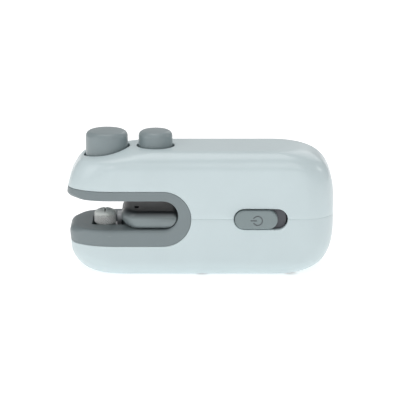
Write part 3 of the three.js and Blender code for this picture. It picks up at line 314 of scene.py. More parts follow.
def turned(name, x, y, profile, steps=96):
    """A closed form turned about an upright axis from its profile of radius and height."""
    points, rows = [], []
    for radius, z in profile:
        if radius == 0:
            rows.append([len(points)] * steps)
            points.append((x, y, z))
            continue
        rows.append(list(range(len(points), len(points) + steps)))
        points += at_z(arc((x, y), radius, 0, 360, steps)[:-1], z)
    return solid_from(name, points, skin(rows + rows[:1]))


def rectangle(left, low, right, high):
    return [(left, low), (right, low), (right, high), (left, high)]


def stadium(x, z, length, height, steps=24):
    """An outline with half round ends, about its middle."""
    radius, reach = height / 2, (length - height) / 2
    return arc((x + reach, z), radius, -90, 90, steps) + arc((x - reach, z), radius, 90, 270, steps)


def rounded_outline(low, high, corner, steps=8):
    """A rectangle's outline with round corners, from its two opposite corners."""
    points = []
    places = rectangle(*low, *high)
    for place, start in zip(places[1:] + places[:1], (-90, 0, 90, 180)):
        centre = [value + corner if value == least else value - corner for value, least in zip(place, low)]
        points += arc(centre, corner, start, start + 90, steps)
    return points


def fall(radius, angles):
    """How far a quarter round lies below its top at some angles."""
    return [radius * (1 - math.cos(math.radians(a))) for a in angles]


# %% [markdown]
# ## Shader maths as plain sums
# A pattern is easiest to read as a sum such as 1 - mask * 0.3.
# Value wraps one output of a node, and each sum on it adds the Math node that does it.
# Every other node comes from one method, which takes the type, the inputs and the settings.

# %% The node classes
class Value:
    """One number, colour, vector or shape that a node gives."""

    def __init__(self, owner, socket):
        self.owner, self.socket = owner, socket


def sum_method(operation, swapped=False):
    """A method that puts a Value and another number through one Math node."""

    def method(self, other):
        first, second = (other, self) if swapped else (self, other)
        return self.owner.maths(operation, first, second)

    return method


for sign, operation in (("add", "ADD"), ("sub", "SUBTRACT"), ("mul", "MULTIPLY"), ("truediv", "DIVIDE")):
    setattr(Value, f"__{sign}__", sum_method(operation))
    setattr(Value, f"__r{sign}__", sum_method(operation, swapped=True))
for sign, operation in (("pow", "POWER"), ("gt", "GREATER_THAN"), ("lt", "LESS_THAN")):
    setattr(Value, f"__{sign}__", sum_method(operation))


class Nodes:
    """A node tree under construction."""

    def fill(self, node, inputs):
        for key, value in inputs.items():
            if isinstance(value, Value):
                self.tree.links.new(value.socket, node.inputs[key])
            else:
                node.inputs[key].default_value = value

    def node(self, kind, inputs=None, output=0, **settings):
        made = self.tree.nodes.new(kind)
        for key, value in settings.items():
            setattr(made, key, value)
        self.fill(made, inputs or {})
        return Value(self, made.outputs[output])

    def maths(self, operation, first, second=0.0):
        return self.node("ShaderNodeMath", {0: first, 1: second}, operation=operation)


def srgb(red, green, blue):
    """A colour from 8-bit screen values, as the linear numbers that shaders take."""
    shares = [part / 255 for part in (red, green, blue)]
    linear = [part / 12.92 if part <= 0.04045 else ((part + 0.055) / 1.055) ** 2.4 for part in shares]
    return (*linear, 1)


class Finish(Nodes):
    """A material under construction."""

    def __init__(self, name):
        self.material = bpy.data.materials.new(name)
        self.material.use_nodes = True
        self.tree = self.material.node_tree

    def place(self, stretch=(1, 1, 1), turn=(0, 0, 0)):
        """Object coordinates, stretched and turned."""
        where = self.node("ShaderNodeTexCoord", output="Object")
        return self.node("ShaderNodeMapping", {"Vector": where, "Scale": stretch, "Rotation": turn})

    def coordinate(self, axis):
        """One of the piece's own coordinates, in metres."""
        where = self.node("ShaderNodeTexCoord", output="Object")
        return self.node("ShaderNodeSeparateXYZ", {"Vector": where}, axis)

    def noise(self, size, detail=2, where=None, roughness=0.5):
        """Soft noise whose cells are about size millimetres across, from 0 to 1."""
        where = where or self.place()
        inputs = {"Vector": where, "Scale": 1 / (size * MM), "Detail": detail, "Roughness": roughness}
        return self.node("ShaderNodeTexNoise", inputs)

    def ramp(self, value, low, high):
        """Spreads a value between low and high over 0 to 1."""
        return self.node("ShaderNodeMapRange", {"Value": value, "From Min": low, "From Max": high})

    def within(self, value, low, high):
        """One where a length in metres lies between two others in millimetres, and zero elsewhere."""
        return (value > low * MM) * (value < high * MM)

    def blend(self, share, first, second):
        """Mixes two colours by a share. A plain colour is given in 8-bit screen values."""
        first, second = (c if isinstance(c, Value) else srgb(*c) for c in (first, second))
        return self.node("ShaderNodeMix", {0: share, 6: first, 7: second}, 2, data_type="RGBA")

    def relief(self, height, depth, strength=1.0, under=None):
        """A bump whose full height is depth millimetres."""
        inputs = {"Height": height, "Distance": depth * MM, "Strength": strength}
        if under:
            inputs["Normal"] = under
        return self.node("ShaderNodeBump", inputs)

    def done(self, inputs):
        self.fill(self.tree.nodes["Principled BSDF"], inputs)
        print("finish", self.material.name, "has", len(self.tree.nodes), "nodes")
        return self.material


# %% [markdown]
# ## Moulded plastic
# The casing, the liner, the buttons and the switch are injection mouldings with a spark-eroded satin skin.
# Close up that is a fine even grain, some tenths of a millimetre across.
# Over it lie a faint change of tone where the melt flowed, shinier and duller patches,
# and a few hairline scuffs.

# %% Plastic finishes
GRAIN, GRAIN_DEPTH = 0.28, 0.006
# Painted shade on the shroud's top: where it starts and ends below the top, and how dark it gets.
TOP_SHADE_FROM, TOP_SHADE_TO, TOP_SHADE_STRENGTH = 3.4, 0.4, 0.98
# Painted shade in the sunk sign: how far it reaches from the sign's middle, and how dark it gets.
SIGN_FLOOR, SIGN_SHADE_STRENGTH = 3.6, 0.7
HAIR = 0.05


def moulded(name, tone, shade, roughness, coat=0.1, darker=None, dark=None):
    """Satin plastic: tone and shade are the two ends of its slight change of colour.

    The function darker gives the share, from 0 to 1, that takes the colour dark; here it carries painted shade.
    """
    made = Finish(name)
    flow = made.ramp(made.noise(26, 3), 0.3, 0.7)
    haze = made.noise(4.5, 4)
    skin = made.noise(GRAIN, 3, roughness=0.6)
    scuffed = made.noise(2.2, 5, made.place((0.16, 1, 1), (0.3, 0.5, 0.35)), 0.7)
    scuffs = made.ramp(scuffed, 0.66, 0.72)
    specks = made.ramp(made.noise(0.6, 1), 0.76, 0.8)
    colour = made.blend(flow * 0.8 + haze * 0.2, tone, shade)
    colour = made.blend(specks * 0.12, colour, (90, 92, 90))
    # Painted shade, where a darker share is given.
    if darker:
        colour = made.blend(darker(made), colour, dark)
    return made.done({
        "Base Color": made.blend(scuffs * 0.08, colour, (236, 238, 238)),
        "Roughness": roughness + haze * 0.1 - 0.05 + scuffs * 0.12,
        "Normal": made.relief(skin, GRAIN_DEPTH, 0.6, made.relief(scuffed, 0.004, 0.4)),
        "Specular IOR Level": 0.45,
        "Coat Weight": coat,
        "Coat Roughness": 0.14,
    })


def shroud_painted_shade(made):
    """Painted shade on the shroud's flat top, which lies in the upper jaw's shadow, and inside the square hole in
    it.
    """
    top = shroud_box.top
    x, y, z = (made.coordinate(axis) for axis in "XYZ")
    # Painted shade: darker towards the flat top, which the upper jaw shades.
    top_shade = made.ramp(z, (top - TOP_SHADE_FROM) * MM, (top - TOP_SHADE_TO) * MM) * TOP_SHADE_STRENGTH
    # Painted shade inside the catch hole.
    hole = made.within(x, HOLE_X - HOLE_SIZE / 2 - HAIR, HOLE_X + HOLE_SIZE / 2 + HAIR)
    hole = hole * made.within(y, HOLE_FRONT - HAIR, HOLE_FRONT + HOLE_LENGTH + HAIR)
    hole = hole * (z < (top - 2 * HAIR) * MM)
    return top_shade + (1 - top_shade) * hole


def slide_painted_shade(made):
    """Painted shade on the flange in the slot, and on the floor of the sunk sign."""
    x, depth, z = (made.coordinate(axis) for axis in "XYZ")
    sign_reach = ((x - SIGN_X * MM) ** 2.0 + (z - SIGN_Z * MM) ** 2.0) ** 0.5
    # Painted shade in the sunk sign.
    sign = (sign_reach < SIGN_FLOOR * MM) * (depth > (CAP_FRONT + 2 * HAIR) * MM) * SIGN_SHADE_STRENGTH
    # Painted shade on the flange, which lies in the slot's shadow.
    flange = depth > (FLANGE_FRONT - HAIR) * MM
    return flange + (1 - flange) * sign


finishes = {
    "shell_white": moulded("satin_white_moulding", (206, 220, 223), (201, 215, 218), 0.34, 0.3),
    "grip_grey": moulded("grey_grip_moulding", (127, 138, 141), (123, 134, 137), 0.42, 0.15),
    "button_grey": moulded("grey_button_moulding", (140, 152, 155), (135, 147, 150), 0.38, 0.2),
    # The slide's flange and sunk sign take painted shade in this darker grey.
    "switch_grey": moulded(
        "grey_slide_moulding", (134, 147, 149), (129, 142, 144), 0.4, darker=slide_painted_shade, dark=(88, 90, 96)
    ),
    "black_plastic": moulded("black_moulding", (34, 35, 37), (28, 29, 31), 0.42),
}
# The shroud's painted shade takes this near-black colour.
shroud_finish = moulded(
    "grey_shroud_moulding", (131, 142, 144), (126, 137, 139), 0.36, 0.2, shroud_painted_shade, (20, 21, 25)
)

# %% [markdown]
# ## Metals
# The clamp nut is bright nickel over brass, and the arm, the plates and the screws are zinc plated.
# A plated part shows the lay of its tool: fine lines along the way it was rubbed or turned.
# In the knurl, the points are painted bright as a painted highlight and the valleys dark as painted shade.
# Old finger grease dulls it in clouds, and tiny pits catch the dark.

# %% Metal finishes
def metal(name, bright, dull, roughness, stretch=(1, 1, 14), line=0.12, share=1):
    """Worked metal: stretch says which way the tool's lines run, the small numbers being along them.

    The share of metal is below one where a dull film lies on it.
    """
    made = Finish(name)
    lines = made.noise(line, 3, made.place(stretch), 0.6)
    clouds = made.ramp(made.noise(3.2, 4), 0.35, 0.7)
    pits = made.ramp(made.noise(0.25, 2), 0.72, 0.78)
    colour = made.blend(clouds * 0.7, bright, dull)
    return made.done({
        "Base Color": made.blend(pits * 0.45, colour, (62, 60, 56)),
        "Metallic": share - pits * 0.5 * share,
        "Roughness": roughness + clouds * 0.12 + lines * 0.1 - 0.05,
        "Normal": made.relief(lines, 0.004, 0.5, made.relief(1 - pits, 0.01, 0.5)),
    })


def knurl_painted_light(valley, tip):
    """Nickel with painted light: painted shade in the valleys and a painted highlight on the points, by the
    distance from the nut's axis.
    """
    made = Finish("nickel_knurl")
    across, along = made.coordinate("X") - NEEDLE_X * MM, made.coordinate("Y") - MIDDLE_Y * MM
    # Painted highlight towards the points, painted shade towards the valleys.
    painted_tip_light = made.ramp((across ** 2.0 + along ** 2.0) ** 0.5, valley * MM, tip * MM)
    film = made.noise(0.5, 3)
    pits = made.ramp(made.noise(0.22, 2), 0.7, 0.78)
    colour = made.blend(painted_tip_light, (76, 82, 79), (254, 255, 254))
    return made.done({
        "Base Color": made.blend(film * 0.15 + pits * 0.15, colour, (178, 182, 178)),
        "Metallic": 0.04 + painted_tip_light * 0.06,
        "Roughness": 0.5 - painted_tip_light * 0.2 + film * 0.1,
        "Normal": made.relief(film, 0.01, 0.4),
    })


# The knurl's finish carries painted light.
knurl_finish = knurl_painted_light(NUT_CORE, NUT_RADIUS - KNURL_PAINTED_TIP)
finishes |= {
    "nickel": metal("nickel_plating", (240, 244, 241), (224, 228, 224), 0.4, (1, 1, 6), share=0.15),
    "plated_steel": metal("zinc_plated_steel", (204, 206, 208), (172, 175, 179), 0.3, (0.12, 1, 1)),
    "spring_steel": metal("drawn_spring_wire", (176, 179, 184), (140, 144, 150), 0.28, (1, 1, 1), 0.08),
    "brass": metal("turned_brass", (222, 186, 112), (190, 152, 84), 0.3, (1, 12, 1)),
}

# %% [markdown]
# ## Inner materials
# The gears are milky nylon that light enters a little.
# The boards are glass laminate under a green varnish, with copper tracks that stand a hair proud.
# The cell wears a shrunk plastic sleeve with slight creases and one seam.

# %% Nylon, board and sleeve
def nylon():
    made = Finish("milky_nylon")
    cloud = made.noise(2.5, 3)
    return made.done({
        "Base Color": made.blend(cloud, (236, 233, 222), (222, 218, 204)),
        "Roughness": 0.38 + cloud * 0.12,
        "Normal": made.relief(made.noise(0.2, 2), 0.006, 0.6),
        "Subsurface Weight": 0.25,
        "Subsurface Scale": 0.001,
    })


def laminate():
    made = Finish("green_board")
    squares = {"Vector": made.place(), "Scale": 1 / (1.6 * MM)}
    cells = made.node("ShaderNodeTexVoronoi", squares, distance="CHEBYCHEV", feature="F1")
    tracks = made.ramp(cells, 0.42, 0.44) * (1 - made.ramp(cells, 0.5, 0.52))
    pads = 1 - made.ramp(cells, 0.1, 0.13)
    glass = made.noise(0.35, 3, made.place((1, 5, 1)))
    varnish = made.blend(glass * 0.5, (28, 92, 58), (36, 108, 66))
    varnish = made.blend(tracks * 0.8, varnish, (62, 138, 78))
    return made.done({
        "Base Color": made.blend(pads, varnish, (196, 190, 170)),
        "Metallic": pads * 0.9,
        "Roughness": 0.32 + glass * 0.12,
        "Normal": made.relief(tracks + pads, 0.035, 0.8),
    })


def sleeve():
    made = Finish("shrunk_sleeve")
    creases = made.noise(1.4, 4, made.place((4, 1, 1)))
    band = made.ramp(made.noise(9, 1, made.place((1, 0.01, 0.01))), 0.49, 0.51)
    return made.done({
        "Base Color": made.blend(band, (52, 92, 150), (44, 80, 134)),
        "Roughness": 0.28 + creases * 0.16,
        "Normal": made.relief(creases, 0.05, 0.6),
    })


finishes |= {"nylon": nylon(), "circuit_board": laminate(), "cell_wrap": sleeve()}

# %% [markdown]
# ## The casing's form
# Seen level by level, the casing is a rectangle whose corners are quarter ellipses.
# Going up, its ends and flanks draw in, again along quarter ellipses, until the flat top is reached.
# The tail is a little fuller than an ellipse, and the top slopes down gently towards the nose.
# The lower jaw's nose stands back a little behind the upper one's.
# One function gives the ring at any level, and an inset gives the inner face of the wall too.
# Each ring has the same count of points, so rings join into a skin of quads.

# %% Rings of the casing
CORNER_STEPS = 22
FLANK_CLEAR = 0.4


def quarter(reach, share, power=2):
    """How far a quarter ellipse reaches when share of its height is used. A higher power is fuller."""
    return reach * max(0, 1 - min(1, share) ** power) ** (1 / power)


def eased_max(a, b):
    """The larger value, eased where the two lie close together."""
    near = max(0, SLOPE_BLEND - abs(a - b))
    return max(a, b) + near * near / (4 * SLOPE_BLEND)


def smooth(value, start, end):
    """Rises from 0 to 1 between two values, and is level at both."""
    share = np.clip((value - start) / (end - start), 0, 1)
    return share * share * (3 - 2 * share)


def jaw_back(z):
    """How far the lower jaw's nose stands back behind the upper one's."""
    return JAW_BACK * smooth(z, JAW_BACK_FROM, JAW_BACK_TO) if z < THROAT_MIDDLE else 0


def section(z, inset=0):
    """The left end, right end, half depth and corner shares of the form at a level."""
    low = {rise: max(0, (rise - z) / (rise - inset)) for rise in (NOSE_LOW_RISE, TAIL_RISE, EDGE)}
    high = {drop: max(0, (z - HEIGHT + drop) / (drop - inset)) for drop in (NOSE_TOP_DROP, TAIL_RISE, EDGE)}
    left_high = NOSE_TOP_REACH - quarter(NOSE_TOP_REACH - inset, high[NOSE_TOP_DROP])
    left_low = NOSE_LOW_REACH - quarter(NOSE_LOW_REACH - inset, low[NOSE_LOW_RISE]) + jaw_back(z)
    slope = SLOPE_START - (HEIGHT - inset - z) * SLOPE_RUN
    left = NOSE_X + max(eased_max(left_high, slope), left_low)
    tail_share = max(high[TAIL_RISE], low[TAIL_RISE])
    right = TAIL_X - TAIL_REACH + quarter(TAIL_REACH - inset, tail_share, TAIL_POWER)
    half = DEPTH / 2 - EDGE + quarter(EDGE - inset, max(low[EDGE], high[EDGE]))
    return left, right, half, half / (DEPTH / 2 - inset)


def ring(z, inset=0):
    """Points around the form at level z, drawn in by inset, from the right front corner onwards."""
    left, right, half, share = section(z, inset)
    depth = (CORNER_DEPTH - inset) * share
    nose, tail = (NOSE_CORNER - inset) * share, (TAIL_CORNER - inset) * share
    corners = [
        (right - tail, -half + depth, tail, -90),
        (right - tail, half - depth, tail, 0),
        (left + nose, half - depth, nose, 90),
        (left + nose, -half + depth, nose, 180),
    ]
    points = []
    for x, y, reach, start in corners:
        points += arc((x, MIDDLE_Y + y), (reach, depth), start, start + 90, CORNER_STEPS)
    return at_z(points, z)


def levels(inset=0):
    """Heights of the rings, close together where the form turns in."""
    low = [inset + rise for rise in fall(EDGE - inset, range(0, 91, 5))]
    flank = [TAIL_RISE - (TAIL_RISE - inset) * math.cos(math.radians(a)) for a in range(44, 91, 4)]
    heights = sorted(set(low + [z for z in flank if z > EDGE + FLANK_CLEAR]))
    return heights + [HEIGHT - z for z in reversed(heights)]


def form(name, inset=0):
    """The whole rounded form as one solid."""
    return loft(name, [ring(z, inset) for z in levels(inset)], SHARP_FORM)


print("rings:", len(levels()), "of", len(ring(SEAM)), "points")

# %% [markdown]
# ## Two half shells
# The casing is moulded as an upper and a lower half that meet on a level line through the throat.
# Each half is one closed skin: up the outside, over a tiny rounded lip at the parting line,
# and down the inside.
# The lips leave the hairline that the photograph shows.

# %% Half shells
PARTING, LIP = 0.01, 0.07


def half_shell(name, toward):
    """The half of the casing above the parting line, or below it where toward is -1."""
    outside, inside = ([z for z in levels(inset) if (z - SEAM) * toward > 2 * LIP] for inset in (0, WALL))
    turns = directions(0, 90, 3)
    lip = [ring(SEAM + toward * (PARTING + LIP * (1 - up)), LIP * (1 - out)) for out, up in turns]
    rings = [ring(z) for z in outside[::-toward]] + lip
    rings += [ring(SEAM + toward * PARTING, WALL)] + [ring(z, WALL) for z in inside[::toward]]
    return loft(name, rings, SHARP_FORM)


upper = half_shell("upper_casing", 1)
lower = half_shell("lower_casing", -1)
print("half shells:", len(upper.data.vertices), "and", len(lower.data.vertices), "points")

# %% [markdown]
# ## Rounded rims
# Every opening of a moulding has a small round on its rim, and that is what catches the light.
# The rim is a curve on the surface, so a tool can be swept along it: inwards of the round it is hollow,
# and outwards it reaches past the edge.
# Subtracting the tool leaves the round.

# %% The rim tool
REACH = 0.6


def rim_tool(name, points, away, inward, radius, steps=7):
    """A tool swept round a closed rim: away lies in the surface, inward along the opening's wall.

    Inward may be one direction for all points, and the radius one number.
    """
    points, away = np.asarray(points, float), np.asarray(away, float)
    inward, radii = np.broadcast_to(inward, points.shape), np.broadcast_to(radius, len(points))
    turns = directions(0, 90, steps)
    rings = []
    for place, across, along, size in zip(points, away, inward, radii):
        row = [place + across * size * (1 - up) + along * size * (1 - out) for out, up in turns]
        row.append(place + along * size - across * REACH)
        row.append(place - across * REACH - along * REACH)
        row.append(place + across * size - along * REACH)
        rings.append(row)
    return loft(name, rings, SHARP_RIM, ends=False)


def unit(vectors):
    return vectors / np.linalg.norm(vectors, axis=1)[:, None]


def throat_rim(z_low, z_high, end_radius):
    """The closed rim of a level slot, open at the nose: below, round the end, above, and round again."""
    middle = (z_low + z_high) / 2

    def level_run(z, side):
        left, _, half, share = section(z)
        nose, depth = NOSE_CORNER * share, CORNER_DEPTH * share
        run = [(THROAT_END, -half), (THROAT_END / 2 + (left + nose) / 2, -half)]
        run += arc((left + nose, -half + depth), (nose, depth), 270, 180, CORNER_STEPS)
        run += [(x, -y) for x, y in reversed(run)]
        ahead = np.gradient(np.array(run), axis=0)
        turn = unit(np.stack([ahead[:, 1], -ahead[:, 0]], axis=1))
        turn[0] = turn[1] = (0, 1)
        turn[-1] = turn[-2] = (0, -1)
        rows = [((x, MIDDLE_Y + y, z), (0, 0, side), (nx, ny, 0)) for (x, y), (nx, ny) in zip(run, turn)]
        return rows[::-side]

    def end_run(side):
        y = MIDDLE_Y + side * DEPTH / 2
        turns = directions(-90 * side, 90 * side, CORNER_STEPS * 2)[1:-1]
        places = [(THROAT_END + end_radius * out, y, middle + end_radius * up) for out, up in turns]
        return [(place, (out, 0, up), (0, -side, 0)) for place, (out, up) in zip(places, turns)]

    rows = level_run(z_low, -1) + end_run(1) + level_run(z_high, 1) + end_run(-1)
    points, away, inward = np.array(rows, float).transpose(1, 0, 2)
    return points, unit(away), unit(inward)


# %% [markdown]
# ## The openings of the throat and the slide
# The shells are cut for the grey liner: a level slot with a half round end.
# The liner sits a tenth of a millimetre inside it, and both edges are softened,
# which draws the thin dark line between white and grey.
# The slide's slot goes through the flat front, half of it in each shell.

# %% Cut the shells for the liner and the slide
SIDE_REACH, LINER_GAP, SOFT_EDGE, SLOT_EDGE = 3, 0.09, 0.25, 0.4
MOUTH = [NOSE_X - SIDE_REACH, -45, -30]


def level_slot(name, z_low, z_high):
    """A level slot with a half round end, right through the casing and open at the nose."""
    outline = [(x, z_low) for x in MOUTH]
    outline += arc((THROAT_END, (z_low + z_high) / 2), (z_high - z_low) / 2, -90, 90, 60)
    outline += [(x, z_high) for x in reversed(MOUTH)]
    return slab(name, outline, FRONT_Y - SIDE_REACH, BACK_Y + SIDE_REACH)


slot_outline = np.array(stadium(SLOT_X, SEAM, SLOT_LENGTH, SLOT_HEIGHT))
straight = (SLOT_LENGTH - SLOT_HEIGHT) / 2
slot_middle = np.clip(slot_outline[:, 0], SLOT_X - straight, SLOT_X + straight)
slot_away = unit(np.stack([slot_outline[:, 0] - slot_middle, slot_outline[:, 1] - SEAM], axis=1))
slot_rim = (at_y(slot_outline, FRONT_Y), at_y(slot_away, 0), (0, 1, 0))
cut_low, cut_high = LINER_BOTTOM - LINER_GAP, LINER_TOP + LINER_GAP
liner_rim = throat_rim(cut_low, cut_high, LINER_RADIUS + LINER_GAP)
for shell in (upper, lower):
    cut(
        shell,
        level_slot("liner_cut", cut_low, cut_high),
        rim_tool("liner_edge", *liner_rim, SOFT_EDGE, steps=3),
        slab("slot_cut", slot_outline, FRONT_Y - SIDE_REACH, FRONT_Y + WALL + PAST),
        rim_tool("slot_edge", *slot_rim, SLOT_EDGE),
    )

# %% [markdown]
# ## Wells, sinks and beds
# The buttons stand in round wells that run straight down through the curved top.
# The well's rim follows that curve, so its height is found by halving: is this point inside the form or not?
# The lower half is cut for the socket, the screws and the mat.

# %% Cut the button wells, the socket, the screw sinks and the mat's bed
HALVINGS = 34
WELL_GAP, WELL_EDGE, WELL_STEPS = 0.85, 0.5, 72
FLANGE_LAP, FLANGE_HEIGHT = 1.5, 1.2
SOCKET_CORNER, MAT_CORNER = 1.2, 3
SINK_EDGE, SINK_INSET, SINK_WALL, HEAD_HEIGHT = 0.35, 0.6, 1.2, 1.6
FLAT_Z = shell_box.bottom


def is_inside(x, y, z):
    left, right, half, share = section(z)
    depth = CORNER_DEPTH * share
    nose, tail = NOSE_CORNER * share, TAIL_CORNER * share
    round_share = max(0, (left + nose - x) / nose, (x - right + tail) / tail)
    return left <= x <= right and abs(y - MIDDLE_Y) <= half - depth + quarter(depth, round_share)


def top_at(x, y):
    """Height of the form's top above a place."""
    low, high = SEAM, HEIGHT
    for _ in range(HALVINGS):
        middle = (low + high) / 2
        low, high = (middle, high) if is_inside(x, y, middle) else (low, middle)
    return low


def top_ring(x, radius):
    """Points of the curved top above a circle on the middle line."""
    places = arc((x, MIDDLE_Y), radius, 0, 360, WELL_STEPS)[:-1]
    return np.array([(*place, top_at(*place)) for place in places])


buttons = {name: Box(name) for name in ("large_button", "small_button")}
radii = {name: box.wide / 2 - FLANGE_LAP for name, box in buttons.items()}
for name, box in buttons.items():
    reach = radii[name] + WELL_GAP
    well = rectangle(0, LINER_TOP - PAST, reach, HEIGHT + 5 * PAST)
    near, far = top_ring(box.x, reach), top_ring(box.x, reach + WELL_EDGE)
    well_edge = rim_tool("well_edge", near, unit(far - near), (0, 0, -1), WELL_EDGE)
    cut(upper, turned("well", box.x, MIDDLE_Y, well, WELL_STEPS), well_edge)

socket_box, mat_box = Box("charge_socket"), Box("base_mat")
arm_box, collet_box = Box("needle_arm"), Box("needle_collet")
port_low, port_high = socket_box.low[1:] - GAP, socket_box.high[1:] + GAP
port_outline = rounded_outline(port_low, port_high, SOCKET_CORNER)
port_rings = [[(x, y, z) for y, z in port_outline] for x in (socket_box.left - PAST, TAIL_X + SIDE_REACH)]
flat_cut = rectangle(NOSE_X - PAST, -SIDE_REACH, TAIL_X + PAST, FLAT_Z)
cut(lower, loft("port_cut", port_rings), slab("flat_cut", flat_cut, FRONT_Y - PAST, BACK_Y + PAST))

screws = {name: Box(name) for name in sorted(nodes) if name.startswith("case_screw")}
for box in screws.values():
    radius = box.wide / 2 + GAP
    seat = box.bottom + HEAD_HEIGHT + GAP
    wall = rectangle(radius, FLAT_Z + SINK_EDGE, radius + SINK_WALL, seat)
    sink_wall = common(turned("sink_wall", box.x, box.y, wall, 48), form("sink_limit", SINK_INSET))
    combine(lower, [sink_wall], "UNION")
    sink = [(0, -PAST), (radius + SINK_EDGE, -PAST), (radius + SINK_EDGE, FLAT_Z)]
    sink += [(radius, FLAT_Z + SINK_EDGE), (radius, seat), (0, seat)]
    cut(lower, turned("sink", box.x, box.y, sink, 48))


def mat_outline(grow):
    return rounded_outline(mat_box.low[:2] - grow, mat_box.high[:2] + grow, MAT_CORNER + grow)


cut(lower, column("mat_bed", mat_outline(GAP), -PAST, mat_box.top + GAP))
finished(upper, "housing", "shell_white", "upper_shell")
finished(lower, "housing", "shell_white", "lower_shell")

# %% [markdown]
# ## The grey liner
# The liner lines the throat like a horseshoe: the jaw above, the round end, and the tray below.
# It is the casing's own form, kept between two level slots, so its outside runs on from the white
# without a step.
# Its rim towards the throat is rounded, most of all at the nose, where a bag slides in.
# In the tray a well takes the clamp nut, with a slit under it for the needle,
# and the end wall lets the arm through.

# %% Throat liner
JAW_ROUND, TRAY_ROUND, BACK_ROUND, JAW_NOSE_ROUND, TRAY_NOSE_ROUND = 0.4, 1.4, 0.4, 2.4, 3
NOSE_ROUND_FROM, NOSE_ROUND_TO = -51, -58
WELL_LEFT, WELL_RIGHT, WELL_HALF = NEEDLE_X - 5.7, NEEDLE_X + 9.6, 8
WELL_FLOOR, WELL_CORNER, WELL_ROUND = LINER_BOTTOM + 1.9, 1.2, 0.4
SLIT_LEFT, SLIT_RIGHT, SLIT_HALF, SLIT_CORNER = NEEDLE_X - 2.9, NEEDLE_X + 0.9, 1.2, 1.1
ARM_HALF, ARM_ROOM = 3, 0.6
WAY_LOW, WAY_HIGH = THROAT_FLOOR + 0.5, THROAT_FLOOR + GAP + shroud_box.tall + ARM_ROOM


def mix(first, second, share):
    return first * (1 - share) + second * share


def throat_rounds(points):
    """The round at each point of the throat's rim: large at the nose, small at the back."""
    up = np.clip((points[:, 2] - THROAT_FLOOR) / (THROAT_TOP - THROAT_FLOOR), 0, 1)
    side = mix(mix(TRAY_ROUND, JAW_ROUND, up), BACK_ROUND, (points[:, 1] - FRONT_Y) / DEPTH)
    at_nose = smooth(points[:, 0], NOSE_ROUND_FROM, NOSE_ROUND_TO)
    return mix(side, mix(TRAY_NOSE_ROUND, JAW_NOSE_ROUND, up), at_nose)


def flat_rim(name, outline, z, edge):
    """A rim tool round a pocket, where it opens downwards in a level face."""
    ahead = np.roll(outline, -1, axis=0) - np.roll(outline, 1, axis=0)
    across = unit(np.stack([ahead[:, 1], -ahead[:, 0]], axis=1))
    return rim_tool(name, at_z(outline, z), at_z(across, 0), (0, 0, -1), edge, steps=4)


liner = form("grey_throat_liner")
common(liner, level_slot("liner_band", LINER_BOTTOM, LINER_TOP))
points, away, inward = throat_rim(THROAT_FLOOR, THROAT_TOP, THROAT_RADIUS)
throat_round = rim_tool("throat_round", points, away, inward, throat_rounds(points), steps=10)
cut(liner, level_slot("throat_cut", THROAT_FLOOR, THROAT_TOP), throat_round)
points, away, inward = throat_rim(LINER_BOTTOM, LINER_TOP, LINER_RADIUS)
cut(liner, rim_tool("liner_soft", points, -away, inward, SOFT_EDGE, steps=3))

well = rounded_outline((WELL_LEFT, MIDDLE_Y - WELL_HALF), (WELL_RIGHT, MIDDLE_Y + WELL_HALF), WELL_CORNER)
slit = rounded_outline((SLIT_LEFT, MIDDLE_Y - SLIT_HALF), (SLIT_RIGHT, MIDDLE_Y + SLIT_HALF), SLIT_CORNER)
arm_way = rectangle(THROAT_END, WAY_LOW, TAIL_X, WAY_HIGH)
cut(
    liner,
    column("nut_well", well, WELL_FLOOR, THROAT_MIDDLE),
    flat_rim("well_rim", well, THROAT_FLOOR, WELL_ROUND),
    column("needle_slit", slit, LINER_BOTTOM - PAST, THROAT_FLOOR),
    slab("arm_way", arm_way, MIDDLE_Y - ARM_HALF - ARM_ROOM, MIDDLE_Y + ARM_HALF + ARM_ROOM),
)
finished(liner, "housing", "grip_grey", "throat_liner")

# %% [markdown]
# ## The two push buttons
# Each button is a deep cap with a soft upper edge and a faint crown, so its top mirrors the sky a little.
# It is turned like a bowl on a lathe, hollow below, with a flange that catches under the casing
# and a stem over its switch.

# %% Buttons
BUTTON_EDGE, BUTTON_CROWN, BUTTON_WALL, STEM_RADIUS = 2.5, 0.3, 1.6, 2
CROWN_STEPS = 8
TRAVELS = {j["child"]: j["range_m"][1] / MM for j in frame["joints"] if j["name"].endswith("button_press")}
print("button travels:", TRAVELS)


def button(name, node, switch, flange_drop):
    box, radius = buttons[node], radii[node]
    top, flange = box.top, HEIGHT - flange_drop
    stem_end = Box(switch).top + GAP + TRAVELS[node]
    profile = [(0, stem_end), (STEM_RADIUS, stem_end), (STEM_RADIUS, top - BUTTON_WALL)]
    profile += [(radius - BUTTON_WALL, top - BUTTON_WALL), (radius - BUTTON_WALL, flange)]
    profile += [(radius + FLANGE_LAP, flange), (radius + FLANGE_LAP, flange + FLANGE_HEIGHT)]
    profile += [(radius, flange + FLANGE_HEIGHT)]
    profile += arc((radius - BUTTON_EDGE, top - BUTTON_CROWN - BUTTON_EDGE), BUTTON_EDGE, 0, 84, 12)
    edge_x, edge_z = profile[-1]
    for step in range(1, CROWN_STEPS + 1):
        share = step / CROWN_STEPS
        profile.append((edge_x * (1 - share), top - (top - edge_z) * (1 - share) ** 2))
    finished(turned(name, box.x, MIDDLE_Y, profile), node, "button_grey", node)


button("large_push_button", "large_button", "run_switch", 12)
button("small_push_button", "small_button", "jog_switch", 4.8)

# %% [markdown]
# ## The slide switch
# The thumb cap is a flat pillow with half round ends, standing a little proud of the front.
# Behind it a thin flange lies in the slot and goes with the cap.
# The cap carries the plain power sign, sunk into it: an open ring and a bar, here lying on its side.

